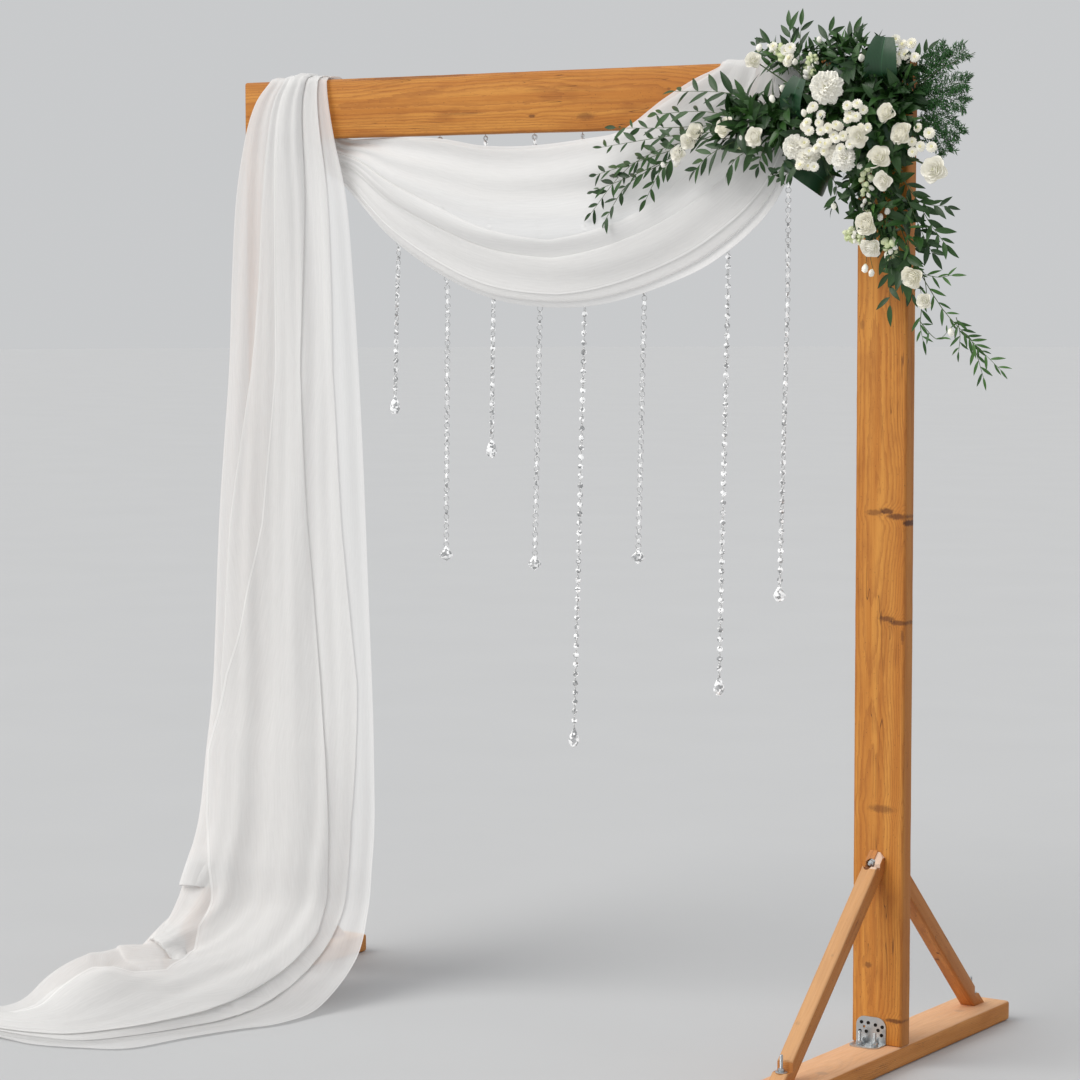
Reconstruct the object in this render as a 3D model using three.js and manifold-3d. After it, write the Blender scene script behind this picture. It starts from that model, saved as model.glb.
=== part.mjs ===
// Draped wooden wedding arch: two plank posts on plank feet, a plank beam across their tops, timber braces
// in front of and behind each post, steel angle brackets, one long sheer cloth, eight crystal strands and
// a corner arrangement of flowers.
// Millimetres. X runs along the beam, Y from the front to the back, Z up. The pieces are placed from a point
// on the ground midway between the posts, and the whole is moved at the end so that the origin is the middle
// of the bounding box's base.
import * as THREE from "three";
import { mergeVertices } from "three/addons/utils/BufferGeometryUtils.js";
import Module from "manifold-3d";

const wasm = await Module();
wasm.setup();

// Driving dimensions of the timber
const ARCH_WIDTH = 1946; // over the posts' outer faces
const ARCH_HEIGHT = 2348; // top of the beam
const PLANK = 45; // thickness of beam and posts
const BEAM_HEIGHT = 150;
const POST_WIDTH = 132;
const FOOT_WIDTH = 130;
const FOOT_THICKNESS = 48;
const FOOT_LENGTH = 1110;
const LEFT_FOOT_FORWARD = 250; // the left foot lies this much further forward than the right one
const EDGE_ROUND = 6; // worn long edges
const END_ROUND = 3; // worn ends
const SEAT = 0.3; // gap left between pieces that touch

// Driving dimensions of the braces and their bolts
const BRACE_SIZE = 40;
const BRACE_CHAMFER = 3;
const BRACE_TOP = 467; // upper edge at the post's face, above the foot
const BRACE_REACH = 486; // upper edge at the foot, from the post's face
// Near the post the brace is notched for a bolt head. Distance from the post's face and height above the foot
// of the notch's outer edge, of its root, and of the foot of the sloping tab above it
const NOTCH_OUT = 40;
const NOTCH_ROOT = [31, 421];
const TAB_FOOT = [24, 424];
const TAB_TOP = 461;
const HEAD_SEAT = 13; // the head's pocket is bored to this distance from the post's face
const HEAD_UP = 433; // top bolt's middle above the foot
const HEAD_ASIDE = 6; // and to the left of the brace's middle
const TOE_THICKNESS = 28; // wood left under the foot bolt's washer
const TOE_BOLT = 448; // foot bolt, from the post's face
const TOE_SPARE = 3; // room between the washer and the notch's wall
const LEFT_BACK_SHORTER = 236; // the left back brace reaches this much less far
const BOLT_RADIUS = 4;
const NUT_RADIUS = 7.5;
const NUT_HEIGHT = 7;
const WASHER_RADIUS = 14;
const WASHER_THICKNESS = 2;
const HEAD_WASHER_RADIUS = 10.5; // under the top bolt's head
const HEAD_PROUD = 8; // threaded end beyond the top bolt's nut
const HEAD_ROOM = 0.6; // room around its washer
const BOLT_PROUD = 38; // threaded end above the foot bolt's washer

// Driving dimensions of the steel angles
const ANGLE_STEEL = 2.5;
const FOOT_ANGLE_WIDTH = 78;
const FOOT_ANGLE_HEIGHT = 64;
const FOOT_ANGLE_LENGTH = 52;
const ANGLE_CORNER = 22; // rounded free corners
const FOOT_ANGLE_INSET = 14; // from the post's left edge
const CORNER_ANGLE_WIDTH = 40;
const CORNER_ANGLE_LEG = 70;
const CORNER_ANGLE_ROUND = 6;

// Driving dimensions of the cloth
const CLOTH_SOLID = 8; // thickness of the solid that stands for the folded sheer
const PLEATS = 5;
const FALL_HEM = 140; // the fall's lower end meets the heap on the ground here

// The strands: hook on the beam (x), pendant's tip (x, z) and pendant's form
const STRAND_DEPTH = 14; // hooks' distance behind the beam's middle plane
const CHAIN_RADIUS = 6;
const HOOK_RADIUS = 2;
const HOOK_LENGTH = 12;
const HOOK_TAPER = 2; // height of the step from the chain to the hook
const STRANDS = [
  [-473, -500, 1503, "teardrop"],
  [-357, -345, 1125, "diamond"],
  [-217, -201, 1390, "teardrop"],
  [-69, -71, 1109, "diamond"],
  [73, 39, 675, "teardrop"],
  [254, 236, 1148, "diamond"],
  [486, 465, 840, "teardrop"],
  [650, 630, 1075, "drop"],
];
// Outlines of the pendants as [radius, height above the tip]
const PENDANTS = {
  teardrop: [[0, 0], [9, 6], [13, 17], [9, 32], [3, 46], [CHAIN_RADIUS, 52]],
  diamond: [[0, 0], [8, 8], [18, 20], [11, 30], [CHAIN_RADIUS, 38]],
  drop: [[0, 0], [11, 4], [16, 16], [11, 28], [CHAIN_RADIUS, 38]],
};

const beamBottom = ARCH_HEIGHT - BEAM_HEIGHT;
const postX = ARCH_WIDTH / 2 - POST_WIDTH / 2;
const face = PLANK / 2;
const clothOff = SEAT + CLOTH_SOLID / 2; // the cloth solid's middle surface, off what it lies on
const clothFace = face + clothOff;

const stained = new THREE.MeshStandardMaterial({ color: 0xb9793a, roughness: 0.55, metalness: 0 });
const paleStained = new THREE.MeshStandardMaterial({ color: 0xc98d58, roughness: 0.6, metalness: 0 });
const zinc = new THREE.MeshStandardMaterial({ color: 0xaab2b6, roughness: 0.4, metalness: 0.9 });
const sheer = new THREE.MeshStandardMaterial({ color: 0xe8e8e5, roughness: 0.85, metalness: 0 });
const crystal = new THREE.MeshStandardMaterial({ color: 0xdfe6ea, roughness: 0.1, metalness: 0.1 });
const foliage = new THREE.MeshStandardMaterial({ color: 0x24452a, roughness: 0.6, metalness: 0 });
const petals = new THREE.MeshStandardMaterial({ color: 0xf1efe6, roughness: 0.8, metalness: 0 });
const foam = new THREE.MeshStandardMaterial({ color: 0x2f5a34, roughness: 0.9, metalness: 0 });

const arch = new THREE.Group();

function place(name, geometry, material, x = 0, y = 0, z = 0) {
  const mesh = new THREE.Mesh(geometry, material);
  mesh.name = name;
  mesh.position.set(x, y, z);
  arch.add(mesh);
  return mesh;
}

// Booleans: a geometry as a solid, and back.
function solid(geometry) {
  const bare = geometry.clone();
  bare.deleteAttribute("normal");
  bare.deleteAttribute("uv");
  const merged = mergeVertices(bare, 1e-3);
  return new wasm.Manifold(
    new wasm.Mesh({
      numProp: 3,
      vertProperties: merged.attributes.position.array,
      triVerts: new Uint32Array(merged.index.array),
    }),
  );
}

function geometryOf(body) {
  const mesh = body.getMesh();
  const geometry = new THREE.BufferGeometry();
  geometry.setAttribute("position", new THREE.BufferAttribute(mesh.vertProperties, 3));
  geometry.setIndex(new THREE.BufferAttribute(mesh.triVerts, 1));
  geometry.computeVertexNormals();
  return geometry;
}

function box(low, high) {
  const size = high.map((value, i) => value - low[i]);
  const geometry = new THREE.BoxGeometry(...size);
  return geometry.translate(low[0] + size[0] / 2, low[1] + size[1] / 2, low[2] + size[2] / 2);
}

function roundedRectangle(width, height, radius) {
  const shape = new THREE.Shape();
  const x = width / 2;
  const y = height / 2;
  shape.moveTo(-x + radius, -y);
  shape.lineTo(x - radius, -y);
  shape.absarc(x - radius, -y + radius, radius, -Math.PI / 2, 0);
  shape.lineTo(x, y - radius);
  shape.absarc(x - radius, y - radius, radius, 0, Math.PI / 2);
  shape.lineTo(-x + radius, y);
  shape.absarc(-x + radius, y - radius, radius, Math.PI / 2, Math.PI);
  shape.lineTo(-x, -y + radius);
  shape.absarc(-x + radius, -y + radius, radius, Math.PI, Math.PI * 1.5);
  return shape;
}

// A plank standing on its end: rounded long edges, worn ends.
function plank(width, thickness, length) {
  const section = roundedRectangle(width - 2 * END_ROUND, thickness - 2 * END_ROUND, EDGE_ROUND);
  const geometry = new THREE.ExtrudeGeometry(section, {
    depth: length - 2 * END_ROUND,
    bevelThickness: END_ROUND,
    bevelSize: END_ROUND,
    bevelSegments: 1,
    curveSegments: 3,
  });
  return geometry.translate(0, 0, END_ROUND);
}

// Timber frame
const beamSection = plank(BEAM_HEIGHT, PLANK, ARCH_WIDTH).rotateY(Math.PI / 2);
place("top_beam", beamSection, stained, -ARCH_WIDTH / 2, 0, beamBottom + BEAM_HEIGHT / 2);

const SIDES = [["left", -1], ["right", 1]];
const ENDS = [["front", -1], ["back", 1]];

const footMiddle = { left: -LEFT_FOOT_FORWARD, right: 0 };

for (const [side, sign] of SIDES) {
  const post = plank(POST_WIDTH, PLANK, beamBottom - FOOT_THICKNESS);
  place(`${side}_post`, post, stained, sign * postX, 0, FOOT_THICKNESS);
  const foot = plank(FOOT_WIDTH, FOOT_THICKNESS, FOOT_LENGTH).rotateX(-Math.PI / 2);
  const footBack = footMiddle[side] - FOOT_LENGTH / 2;
  place(`${side}_foot`, foot, stained, sign * postX, footBack, FOOT_THICKNESS / 2);
}

// A brace seen from its side: x is the distance from the post's face, y the height above the foot. Its edges
// run parallel, BRACE_SIZE apart.
const fall = BRACE_TOP / BRACE_REACH;
const braceSlope = Math.hypot(BRACE_TOP, BRACE_REACH);
const braceLowerTop = BRACE_TOP - (BRACE_SIZE * braceSlope) / BRACE_REACH;
const braceLowerReach = BRACE_REACH - (BRACE_SIZE * braceSlope) / BRACE_TOP;

// Its top end is cut plumb against the post and notched, its toe is cut level and notched for a washer.
function braceProfile(shorter) {
  const lower = shorter * fall;
  const upper = (distance) => BRACE_TOP - lower - distance * fall;
  const toeIn = TOE_BOLT - WASHER_RADIUS - TOE_SPARE - shorter;
  const toeOut = (BRACE_TOP - TOE_THICKNESS) / fall - shorter;
  return [
    [0, braceLowerTop - lower],
    [braceLowerReach - shorter, 0],
    [BRACE_REACH - shorter, 0],
    [toeOut, TOE_THICKNESS],
    [toeIn, TOE_THICKNESS],
    [toeIn, upper(toeIn)],
    [NOTCH_OUT, upper(NOTCH_OUT)],
    [NOTCH_ROOT[0], NOTCH_ROOT[1] - lower],
    [TAB_FOOT[0], TAB_FOOT[1] - lower],
    [0, TAB_TOP - lower],
  ];
}

// Turns a piece made for the back of a post to face the front.
function facing(geometry, sign) {
  return sign > 0 ? geometry : geometry.rotateZ(Math.PI);
}

// A side profile made a solid of a given width along X, its side edges chamfered.
function fromSide(profile, width, chamfer) {
  const shape = new THREE.Shape(profile.map(([x, y]) => new THREE.Vector2(x, y)));
  const geometry = new THREE.ExtrudeGeometry(shape, {
    depth: width - 2 * chamfer,
    bevelEnabled: chamfer > 0,
    bevelThickness: chamfer,
    bevelSize: chamfer,
    bevelOffset: -chamfer,
    bevelSegments: 1,
  });
  geometry.translate(0, 0, chamfer - width / 2);
  return geometry.rotateX(Math.PI / 2).rotateZ(Math.PI / 2);
}

function turned(profile, segments) {
  const points = profile.map(([radius, height]) => new THREE.Vector2(radius, height));
  return new THREE.LatheGeometry(points, segments).rotateX(Math.PI / 2);
}

// A brace behind a post, with the round pocket for the top bolt's washer and nut.
function braceBody(shorter) {
  const body = solid(fromSide(braceProfile(shorter), BRACE_SIZE, BRACE_CHAMFER));
  const radius = HEAD_WASHER_RADIUS + HEAD_ROOM;
  const pocket = new THREE.CylinderGeometry(radius, radius, 2 * NOTCH_OUT, 24);
  pocket.translate(HEAD_ASIDE, HEAD_SEAT + NOTCH_OUT, HEAD_UP - shorter * fall);
  return geometryOf(body.subtract(solid(pocket)));
}

function footBolt() {
  const nutTop = WASHER_THICKNESS + NUT_HEIGHT;
  const end = WASHER_THICKNESS + BOLT_PROUD;
  return turned(
    [
      [0, 0],
      [WASHER_RADIUS, 0],
      [WASHER_RADIUS, WASHER_THICKNESS],
      [NUT_RADIUS, WASHER_THICKNESS],
      [NUT_RADIUS, nutTop],
      [BOLT_RADIUS, nutTop],
      [BOLT_RADIUS, end - 1],
      [BOLT_RADIUS - 1, end],
      [0, end],
    ],
    12,
  );
}

function topBolt() {
  const nutTop = WASHER_THICKNESS + NUT_HEIGHT;
  const end = nutTop + HEAD_PROUD;
  return turned(
    [
      [0, 0],
      [HEAD_WASHER_RADIUS, 0],
      [HEAD_WASHER_RADIUS, WASHER_THICKNESS],
      [NUT_RADIUS, WASHER_THICKNESS],
      [NUT_RADIUS, nutTop - 1],
      [NUT_RADIUS - 1, nutTop],
      [BOLT_RADIUS, nutTop],
      [BOLT_RADIUS, end - 1],
      [BOLT_RADIUS - 1, end],
      [0, end],
    ],
    12,
  );
}

// A steel angle standing on a level seat against an upright face at y = 0, its legs' free ends rounded.
function angle(width, height, length, corner) {
  const legShape = (reach) => {
    const shape = new THREE.Shape();
    shape.moveTo(-width / 2, 0);
    shape.lineTo(width / 2, 0);
    shape.lineTo(width / 2, reach - corner);
    shape.absarc(width / 2 - corner, reach - corner, corner, 0, Math.PI / 2);
    shape.lineTo(-width / 2 + corner, reach);
    shape.absarc(-width / 2 + corner, reach - corner, corner, Math.PI / 2, Math.PI);
    return shape;
  };
  const options = { depth: ANGLE_STEEL, bevelEnabled: false, curveSegments: 4 };
  const level = new THREE.ExtrudeGeometry(legShape(length), options);
  const upright = new THREE.ExtrudeGeometry(legShape(height), options).rotateX(Math.PI / 2);
  upright.translate(0, ANGLE_STEEL, 0);
  return geometryOf(solid(level).add(solid(upright)));
}

for (const [side, sideSign] of SIDES) {
  const x = sideSign * postX;
  for (const [end, endSign] of ENDS) {
    const at = (distance) => endSign * (face + SEAT + distance);
    const shorter = side === "left" && end === "back" ? LEFT_BACK_SHORTER : 0;
    const brace = facing(braceBody(shorter), endSign);
    place(`${side}_${end}_brace`, brace, paleStained, x, at(0), FOOT_THICKNESS + SEAT);
    const toeTop = FOOT_THICKNESS + SEAT + TOE_THICKNESS + SEAT;
    place(`${side}_${end}_brace_foot_bolt`, footBolt(), zinc, x, at(TOE_BOLT - shorter), toeTop);
    const head = facing(topBolt().rotateX(-Math.PI / 2), endSign);
    const headX = x + endSign * HEAD_ASIDE;
    const headZ = FOOT_THICKNESS + SEAT + HEAD_UP - shorter * fall;
    place(`${side}_${end}_brace_top_bolt`, head, zinc, headX, at(HEAD_SEAT + SEAT), headZ);
    const footAngle = angle(FOOT_ANGLE_WIDTH, FOOT_ANGLE_HEIGHT, FOOT_ANGLE_LENGTH, ANGLE_CORNER);
    const bracket = facing(footAngle, endSign);
    const bracketX = x - POST_WIDTH / 2 + FOOT_ANGLE_WIDTH / 2 + FOOT_ANGLE_INSET;
    place(`${side}_${end}_foot_bracket`, bracket, zinc, bracketX, at(0), FOOT_THICKNESS + SEAT);
  }
  // inner corner of post and beam, under the beam
  const corner = angle(CORNER_ANGLE_WIDTH, CORNER_ANGLE_LEG, CORNER_ANGLE_LEG, CORNER_ANGLE_ROUND);
  corner.rotateX(Math.PI).rotateZ(sideSign * (Math.PI / 2)).rotateZ(Math.PI);
  const inner = sideSign * (ARCH_WIDTH / 2 - POST_WIDTH - SEAT);
  place(`${side}_corner_bracket`, corner, zinc, inner, 0, beamBottom - SEAT);
}

// The solid that stands for a cloth: a box bent so that its middle plane follows surface(u, v), where u runs
// across the cloth and v along it, both from 0 to 1, and nothing reaches below a level.
function clothSolid(surface, across, along, lowest = 0) {
  const geometry = new THREE.BoxGeometry(1, 1, 1, across, along, 1);
  const position = geometry.attributes.position;
  const step = 1e-3;
  for (let i = 0; i < position.count; i++) {
    const u = position.getX(i) + 0.5;
    const v = position.getY(i) + 0.5;
    const here = surface(u, v);
    const u0 = Math.max(u - step, 0);
    const v0 = Math.max(v - step, 0);
    const du = surface(Math.min(u + step, 1), v).sub(surface(u0, v));
    const dv = surface(u, Math.min(v + step, 1)).sub(surface(u, v0));
    const normal = du.cross(dv).normalize();
    here.addScaledVector(normal, position.getZ(i) * CLOTH_SOLID);
    position.setXYZ(i, here.x, here.y, Math.max(here.z, lowest));
  }
  geometry.computeVertexNormals();
  return geometry;
}

function curveOf(points) {
  return new THREE.CatmullRomCurve3(points.map((p) => new THREE.Vector3(...p)), false, "centripetal");
}

// A cloth between the curves of its two edges, with pleats across it; lift(u, v) moves a point forward.
function between(leftEdge, rightEdge, lift) {
  return (u, v) => {
    const point = leftEdge.getPoint(v).lerp(rightEdge.getPoint(v), u);
    point.y -= lift(u, v);
    return point;
  };
}

const smooth = THREE.MathUtils.smoothstep;

// The middle of a cloth that is laid over the beam from its back to its front, round the worn edges. It
// stands off a little at 45 degrees, so that the flat rows between the points clear the round.
const BACK_START = 60; // height above the beam's underside where the cloth meets the beam's back
const ROUND_SPARE = 1.5;
function overBeam(backX, frontX) {
  const round = EDGE_ROUND + END_ROUND;
  const points = [[clothFace, beamBottom + BACK_START]];
  for (const [turn, sign] of [[0, 1], [45, 1], [90, 1], [90, -1], [45, -1], [0, -1]]) {
    const angle = THREE.MathUtils.degToRad(turn);
    const radius = round + clothOff + ROUND_SPARE * Math.sin(2 * angle);
    const y = sign * (face - round + radius * Math.cos(angle));
    points.push([y, ARCH_HEIGHT - round + radius * Math.sin(angle)]);
  }
  return points.map(([y, z], i) => [THREE.MathUtils.lerp(backX, frontX, i / (points.length - 1)), y, z]);
}

// The fall: from behind the beam over its top near the left post, then down the front to the heap of cloth,
// over the left front brace. Edge points run from behind the beam to the hem.
const fallLeft = [
  [-850, clothFace, beamBottom + 7],
  ...overBeam(-858, -893),
  [-935, -clothFace - 3, 2290],
  [-975, -clothFace - 8, 2200],
  [-994, -48, 2040],
  [-1003, -62, 1820],
  [-1006, -75, 1600],
  [-1012, -105, 1200],
  [-991, -160, 800],
  [-968, -208, 600],
  [-948, -262, 440],
  [-945, -315, 340],
  [-948, -385, 250],
  [-950, -480, FALL_HEM],
];
const fallRight = [
  [-672, clothFace, beamBottom + 7],
  ...overBeam(-673, -680),
  [-680, -clothFace - 3, 2290],
  [-661, -clothFace - 8, 2200],
  [-628, -48, 2040],
  [-612, -52, 1820],
  [-598, -55, 1600],
  [-571, -60, 1200],
  [-543, -66, 800],
  [-535, -74, 600],
  [-529, -85, 440],
  [-530, -94, 340],
  [-531, -105, 250],
  [-550, -130, FALL_HEM],
];
const fallRows = fallLeft.length - 1;
const onBeam = overBeam(0, 0).length / fallRows; // share of the rows that lie on the beam
const PLEAT_DEPTH = 11;
const FALL_BELLY = 70; // how far the fall's foot bulges over the brace
function fallLift(u, v) {
  const free = smooth(v, onBeam, onBeam + 0.25);
  const low = smooth(v, 0.75, 1);
  const pleat = PLEAT_DEPTH * Math.sin(2 * Math.PI * (PLEATS * u + 0.15));
  const belly = FALL_BELLY * Math.sin(Math.PI * Math.min(1, u * 1.15 + 0.1));
  return free * (PLEAT_DEPTH + 1 + pleat) + low * belly;
}
const fallSurface = between(curveOf(fallLeft), curveOf(fallRight), fallLift);
place("drape_fall", clothSolid(fallSurface, 20, fallRows, FALL_HEM), sheer);

// The swag: from the bunch behind the beam, forward under it, down and up across the beam's front, then over
// the top under the flowers and down behind to a short tail. Upper and lower edges.
const swagUpper = [
  [-674, clothFace, 2197],
  [-640, 26, 2182],
  [-560, 12, 2180],
  [-460, -6, 2182],
  [-330, -16, 2180],
  [-204, -20, 2168],
  [-57, -22, 2165],
  [111, -26, 2171],
  [209, -clothFace - 3, 2193],
  [320, -clothFace - 4, 2268],
  [400, -clothFace - 4, 2312],
  [450, -clothFace - 2, 2330],
  ...overBeam(480, 472).reverse(),
  [484, clothFace, 2130],
];
const swagLower = [
  [-850, clothFace, 2197],
  [-760, 34, 2125],
  [-640, 18, 2065],
  [-490, -12, 1945],
  [-325, -34, 1852],
  [-165, -44, 1792],
  [0, -48, 1769],
  [160, -48, 1776],
  [340, -46, 1822],
  [500, -44, 1890],
  [640, -44, 2010],
  [715, -clothFace - 6, 2190],
  ...overBeam(724, 732).reverse(),
  [706, clothFace, 2100],
];
const SWAG_BELLY = 26;
const SWAG_FOLD = 5;
function swagLift(u, v) {
  const hanging = smooth(v, 0.12, 0.26) * (1 - smooth(v, 0.38, 0.5));
  return hanging * (SWAG_BELLY * Math.sin(Math.PI * u) + SWAG_FOLD * Math.sin(6 * Math.PI * u));
}
const swagSurface = between(curveOf(swagUpper), curveOf(swagLower), swagLift);
place("drape_swag", clothSolid(swagSurface, 10, swagUpper.length - 1), sheer);

// The train: the heap of cloth round the left foot's front end and the tail trailing from it. Its plan lies
// between two edges on the ground, and its top rises between them to meet the fall's hem.
const trainLeft = curveOf([
  [-985, -400, 0],
  [-1045, -500, 0],
  [-1110, -620, 0],
  [-1130, -760, 0],
  [-1165, -830, 0],
  [-1300, -860, 0],
]);
const trainRight = curveOf([
  [-590, -60, 0],
  [-505, -240, 0],
  [-520, -520, 0],
  [-600, -800, 0],
  [-880, -985, 0],
  [-1270, -960, 0],
]);
const HEAP_EDGE = 5; // height of the heap's rim
function trainHeap() {
  const geometry = new THREE.BoxGeometry(1, 1, 1, 18, 16, 1);
  const position = geometry.attributes.position;
  const highest = FALL_HEM - SEAT;
  for (let i = 0; i < position.count; i++) {
    const u = position.getX(i) + 0.5;
    const v = 0.5 - position.getY(i);
    const point = trainLeft.getPoint(v).lerp(trainRight.getPoint(v), u);
    const flank = 0.13 + 0.35 * smooth(v, 0.5, 0.65); // the left flank is gentler past the foot's end
    const rise = smooth(u, 0, flank) * smooth(1 - u, 0, 0.13) * smooth(v, -0.06, 0.04);
    const fallen = 1 - 0.3 * smooth(v, 0.45, 0.66) - 0.66 * smooth(v, 0.66, 0.9);
    const top = HEAP_EDGE + (highest - HEAP_EDGE) * rise * fallen;
    position.setXYZ(i, point.x, point.y, position.getZ(i) > 0 ? top : 0);
  }
  return geometry;
}
const CLEAR = 2; // the heap's clearance round the timber inside it
const footFront = box(
  [-postX - FOOT_WIDTH / 2 - CLEAR, -LEFT_FOOT_FORWARD - FOOT_LENGTH / 2 - CLEAR, -CLEAR],
  [-postX + FOOT_WIDTH / 2 + CLEAR, 0, FOOT_THICKNESS + CLEAR],
);
const braceRoom = facing(
  fromSide(
    [
      [0, braceLowerTop - 3 * CLEAR],
      [braceLowerReach - 3 * CLEAR, -CLEAR],
      [BRACE_REACH + CLEAR, -CLEAR],
      [BRACE_REACH + CLEAR, 3 * CLEAR],
      [0, BRACE_TOP + 3 * CLEAR],
    ],
    BRACE_SIZE + 2 * CLEAR,
    0,
  ),
  -1,
).translate(-postX, -face, FOOT_THICKNESS);
const BOLT_ROOM = 40; // free length round the foot bolt, and its height above the toe
const boltTop = FOOT_THICKNESS + TOE_THICKNESS + BOLT_ROOM + 10;
const boltRoom = box(
  [-postX - WASHER_RADIUS - CLEAR, -face - TOE_BOLT - BOLT_ROOM + 2 * CLEAR, FOOT_THICKNESS],
  [-postX + WASHER_RADIUS + CLEAR, -face - TOE_BOLT + BOLT_ROOM, boltTop],
);
const train = solid(trainHeap())
  .subtract(solid(footFront))
  .subtract(solid(braceRoom))
  .subtract(solid(boltRoom));
place("drape_train", geometryOf(train), sheer);

// Crystal strands: hook, chain of beads and rings, pendant. Each hangs from the beam's underside.
STRANDS.forEach(([hookX, tipX, tipZ, form], i) => {
  const length = beamBottom - SEAT - tipZ;
  const hookFoot = length - HOOK_LENGTH;
  const neck = [[CHAIN_RADIUS, hookFoot - HOOK_TAPER], [HOOK_RADIUS, hookFoot]];
  const profile = [...PENDANTS[form], ...neck, [HOOK_RADIUS, length], [0, length]];
  const geometry = turned(profile, 8).translate(0, 0, -length);
  geometry.rotateY(Math.atan2(hookX - tipX, length));
  place(`crystal_strand_${i + 1}`, geometry, crystal, hookX, STRAND_DEPTH, beamBottom - SEAT);
});

// A lump of flowers or leaves: a ball with its own half-sizes.
function lump(centre, half, detail = 10) {
  const geometry = new THREE.SphereGeometry(1, detail + 2, detail - 2);
  return geometry.scale(...half).translate(...centre);
}

// A spray: a ball drawn out along a curve, thickest at its middle.
function spray(points, halfWidth, halfDepth) {
  const curve = curveOf(points);
  const geometry = new THREE.SphereGeometry(1, 8, 12).rotateX(Math.PI / 2);
  const position = geometry.attributes.position;
  const depth = new THREE.Vector3(0, 1, 0);
  for (let i = 0; i < position.count; i++) {
    const t = (position.getZ(i) + 1) / 2;
    const along = curve.getTangent(t);
    const wide = new THREE.Vector3().crossVectors(along, depth).normalize();
    const point = curve.getPoint(t);
    point.addScaledVector(wide, -position.getX(i) * halfWidth);
    point.addScaledVector(depth, position.getY(i) * halfDepth);
    position.setXYZ(i, point.x, point.y, point.z);
  }
  geometry.computeVertexNormals();
  return geometry;
}

// Flower arrangement on the front of the right corner: a foam block tied to the beam and post, and the
// leaves and blooms that are pushed into it.
const FOAM_LOW = [730, -100, 2150];
const FOAM_HIGH = [950, -face - SEAT, 2260];
place("flower_foam", box(FOAM_LOW, FOAM_HIGH), foam);

const timberFront = -face - SEAT;
const timberRoom = box([-2000, timberFront, 0], [2000, 400, ARCH_HEIGHT + SEAT]);
const foamRoom = box(FOAM_LOW.map((value) => value - SEAT), [FOAM_HIGH[0] + SEAT, 0, FOAM_HIGH[2] + SEAT]);
const swagRoom = box([100, -62, 1700], [748, 100, ARCH_HEIGHT + 20]);
const rooms = [timberRoom, foamRoom, swagRoom].map(solid);
const SEAT_MOVES = [[0, 0, 0], [SEAT, 0, 0], [-SEAT, 0, 0], [0, -SEAT, 0], [0, 0, SEAT], [0, 0, -SEAT]];

// Joins the lumps, and cuts them clear of the timber, the foam, the cloth and the pieces made before.
function cluster(name, material, lumps, before) {
  let body = solid(lumps[0]);
  for (const other of lumps.slice(1)) body = body.add(solid(other));
  for (const room of rooms) body = body.subtract(room);
  for (const piece of before) {
    for (const [x, y, z] of SEAT_MOVES) body = body.subtract(piece.translate(x, y, z));
  }
  // a cut may leave slivers behind the timber: the largest piece is kept
  body = body.decompose().reduce((a, b) => (a.volume() > b.volume() ? a : b));
  place(name, geometryOf(body), material);
  return body;
}

const heart = cluster(
  "foliage_mass",
  foliage,
  [
    lump([790, -100, 2215], [215, 90, 135]),
    lump([930, -100, 2195], [145, 90, 175]),
    lump([620, -105, 2225], [150, 50, 85]),
    lump([800, -70, 2350], [190, 75, 72]),
  ],
  [],
);
const crown = cluster(
  "top_leaves",
  foliage,
  [
    lump([690, -50, 2385], [115, 45, 48]),
    lump([800, -50, 2392], [90, 42, 45]),
    lump([905, -45, 2392], [115, 45, 42]),
  ],
  [heart],
);
const fern = cluster("fern_spray", foliage, [lump([1080, -70, 2250], [60, 35, 110])], [heart, crown]);
const leftSpray = cluster(
  "left_spray",
  foliage,
  [spray([[590, -110, 2190], [450, -100, 2165], [330, -95, 2105], [160, -92, 1995]], 70, 24)],
  [heart],
);
const postSpray = cluster("post_spray", foliage, [lump([930, -75, 1965], [75, 45, 130])], [heart]);
cluster(
  "trailing_vine",
  foliage,
  [spray([[1000, -70, 1960], [1050, -75, 1860], [1110, -70, 1760], [1230, -80, 1640]], 40, 22)],
  [heart, postSpray],
);
cluster("white_carnation", petals, [lump([800, -205, 2275], [48, 30, 50])], [heart, crown]);
cluster("white_roses", petals, [lump([1064, -130, 2085], [34, 30, 45])], [heart, fern, leftSpray]);

const extent = new THREE.Box3().setFromObject(arch);
const middle = extent.getCenter(new THREE.Vector3());
arch.position.set(-middle.x, -middle.y, -extent.min.z);

export default arch;
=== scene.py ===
# A free-standing wedding arch: stained planks on braced plank feet, one long sheer cloth laid over the beam,
# eight hanging crystal strands, and a corner arrangement of leaves and white blooms. It is in metres, in the
# part's frame.
import bpy
import bmesh
import math
import random
import numpy as np
from mathutils import Matrix, Vector


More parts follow.
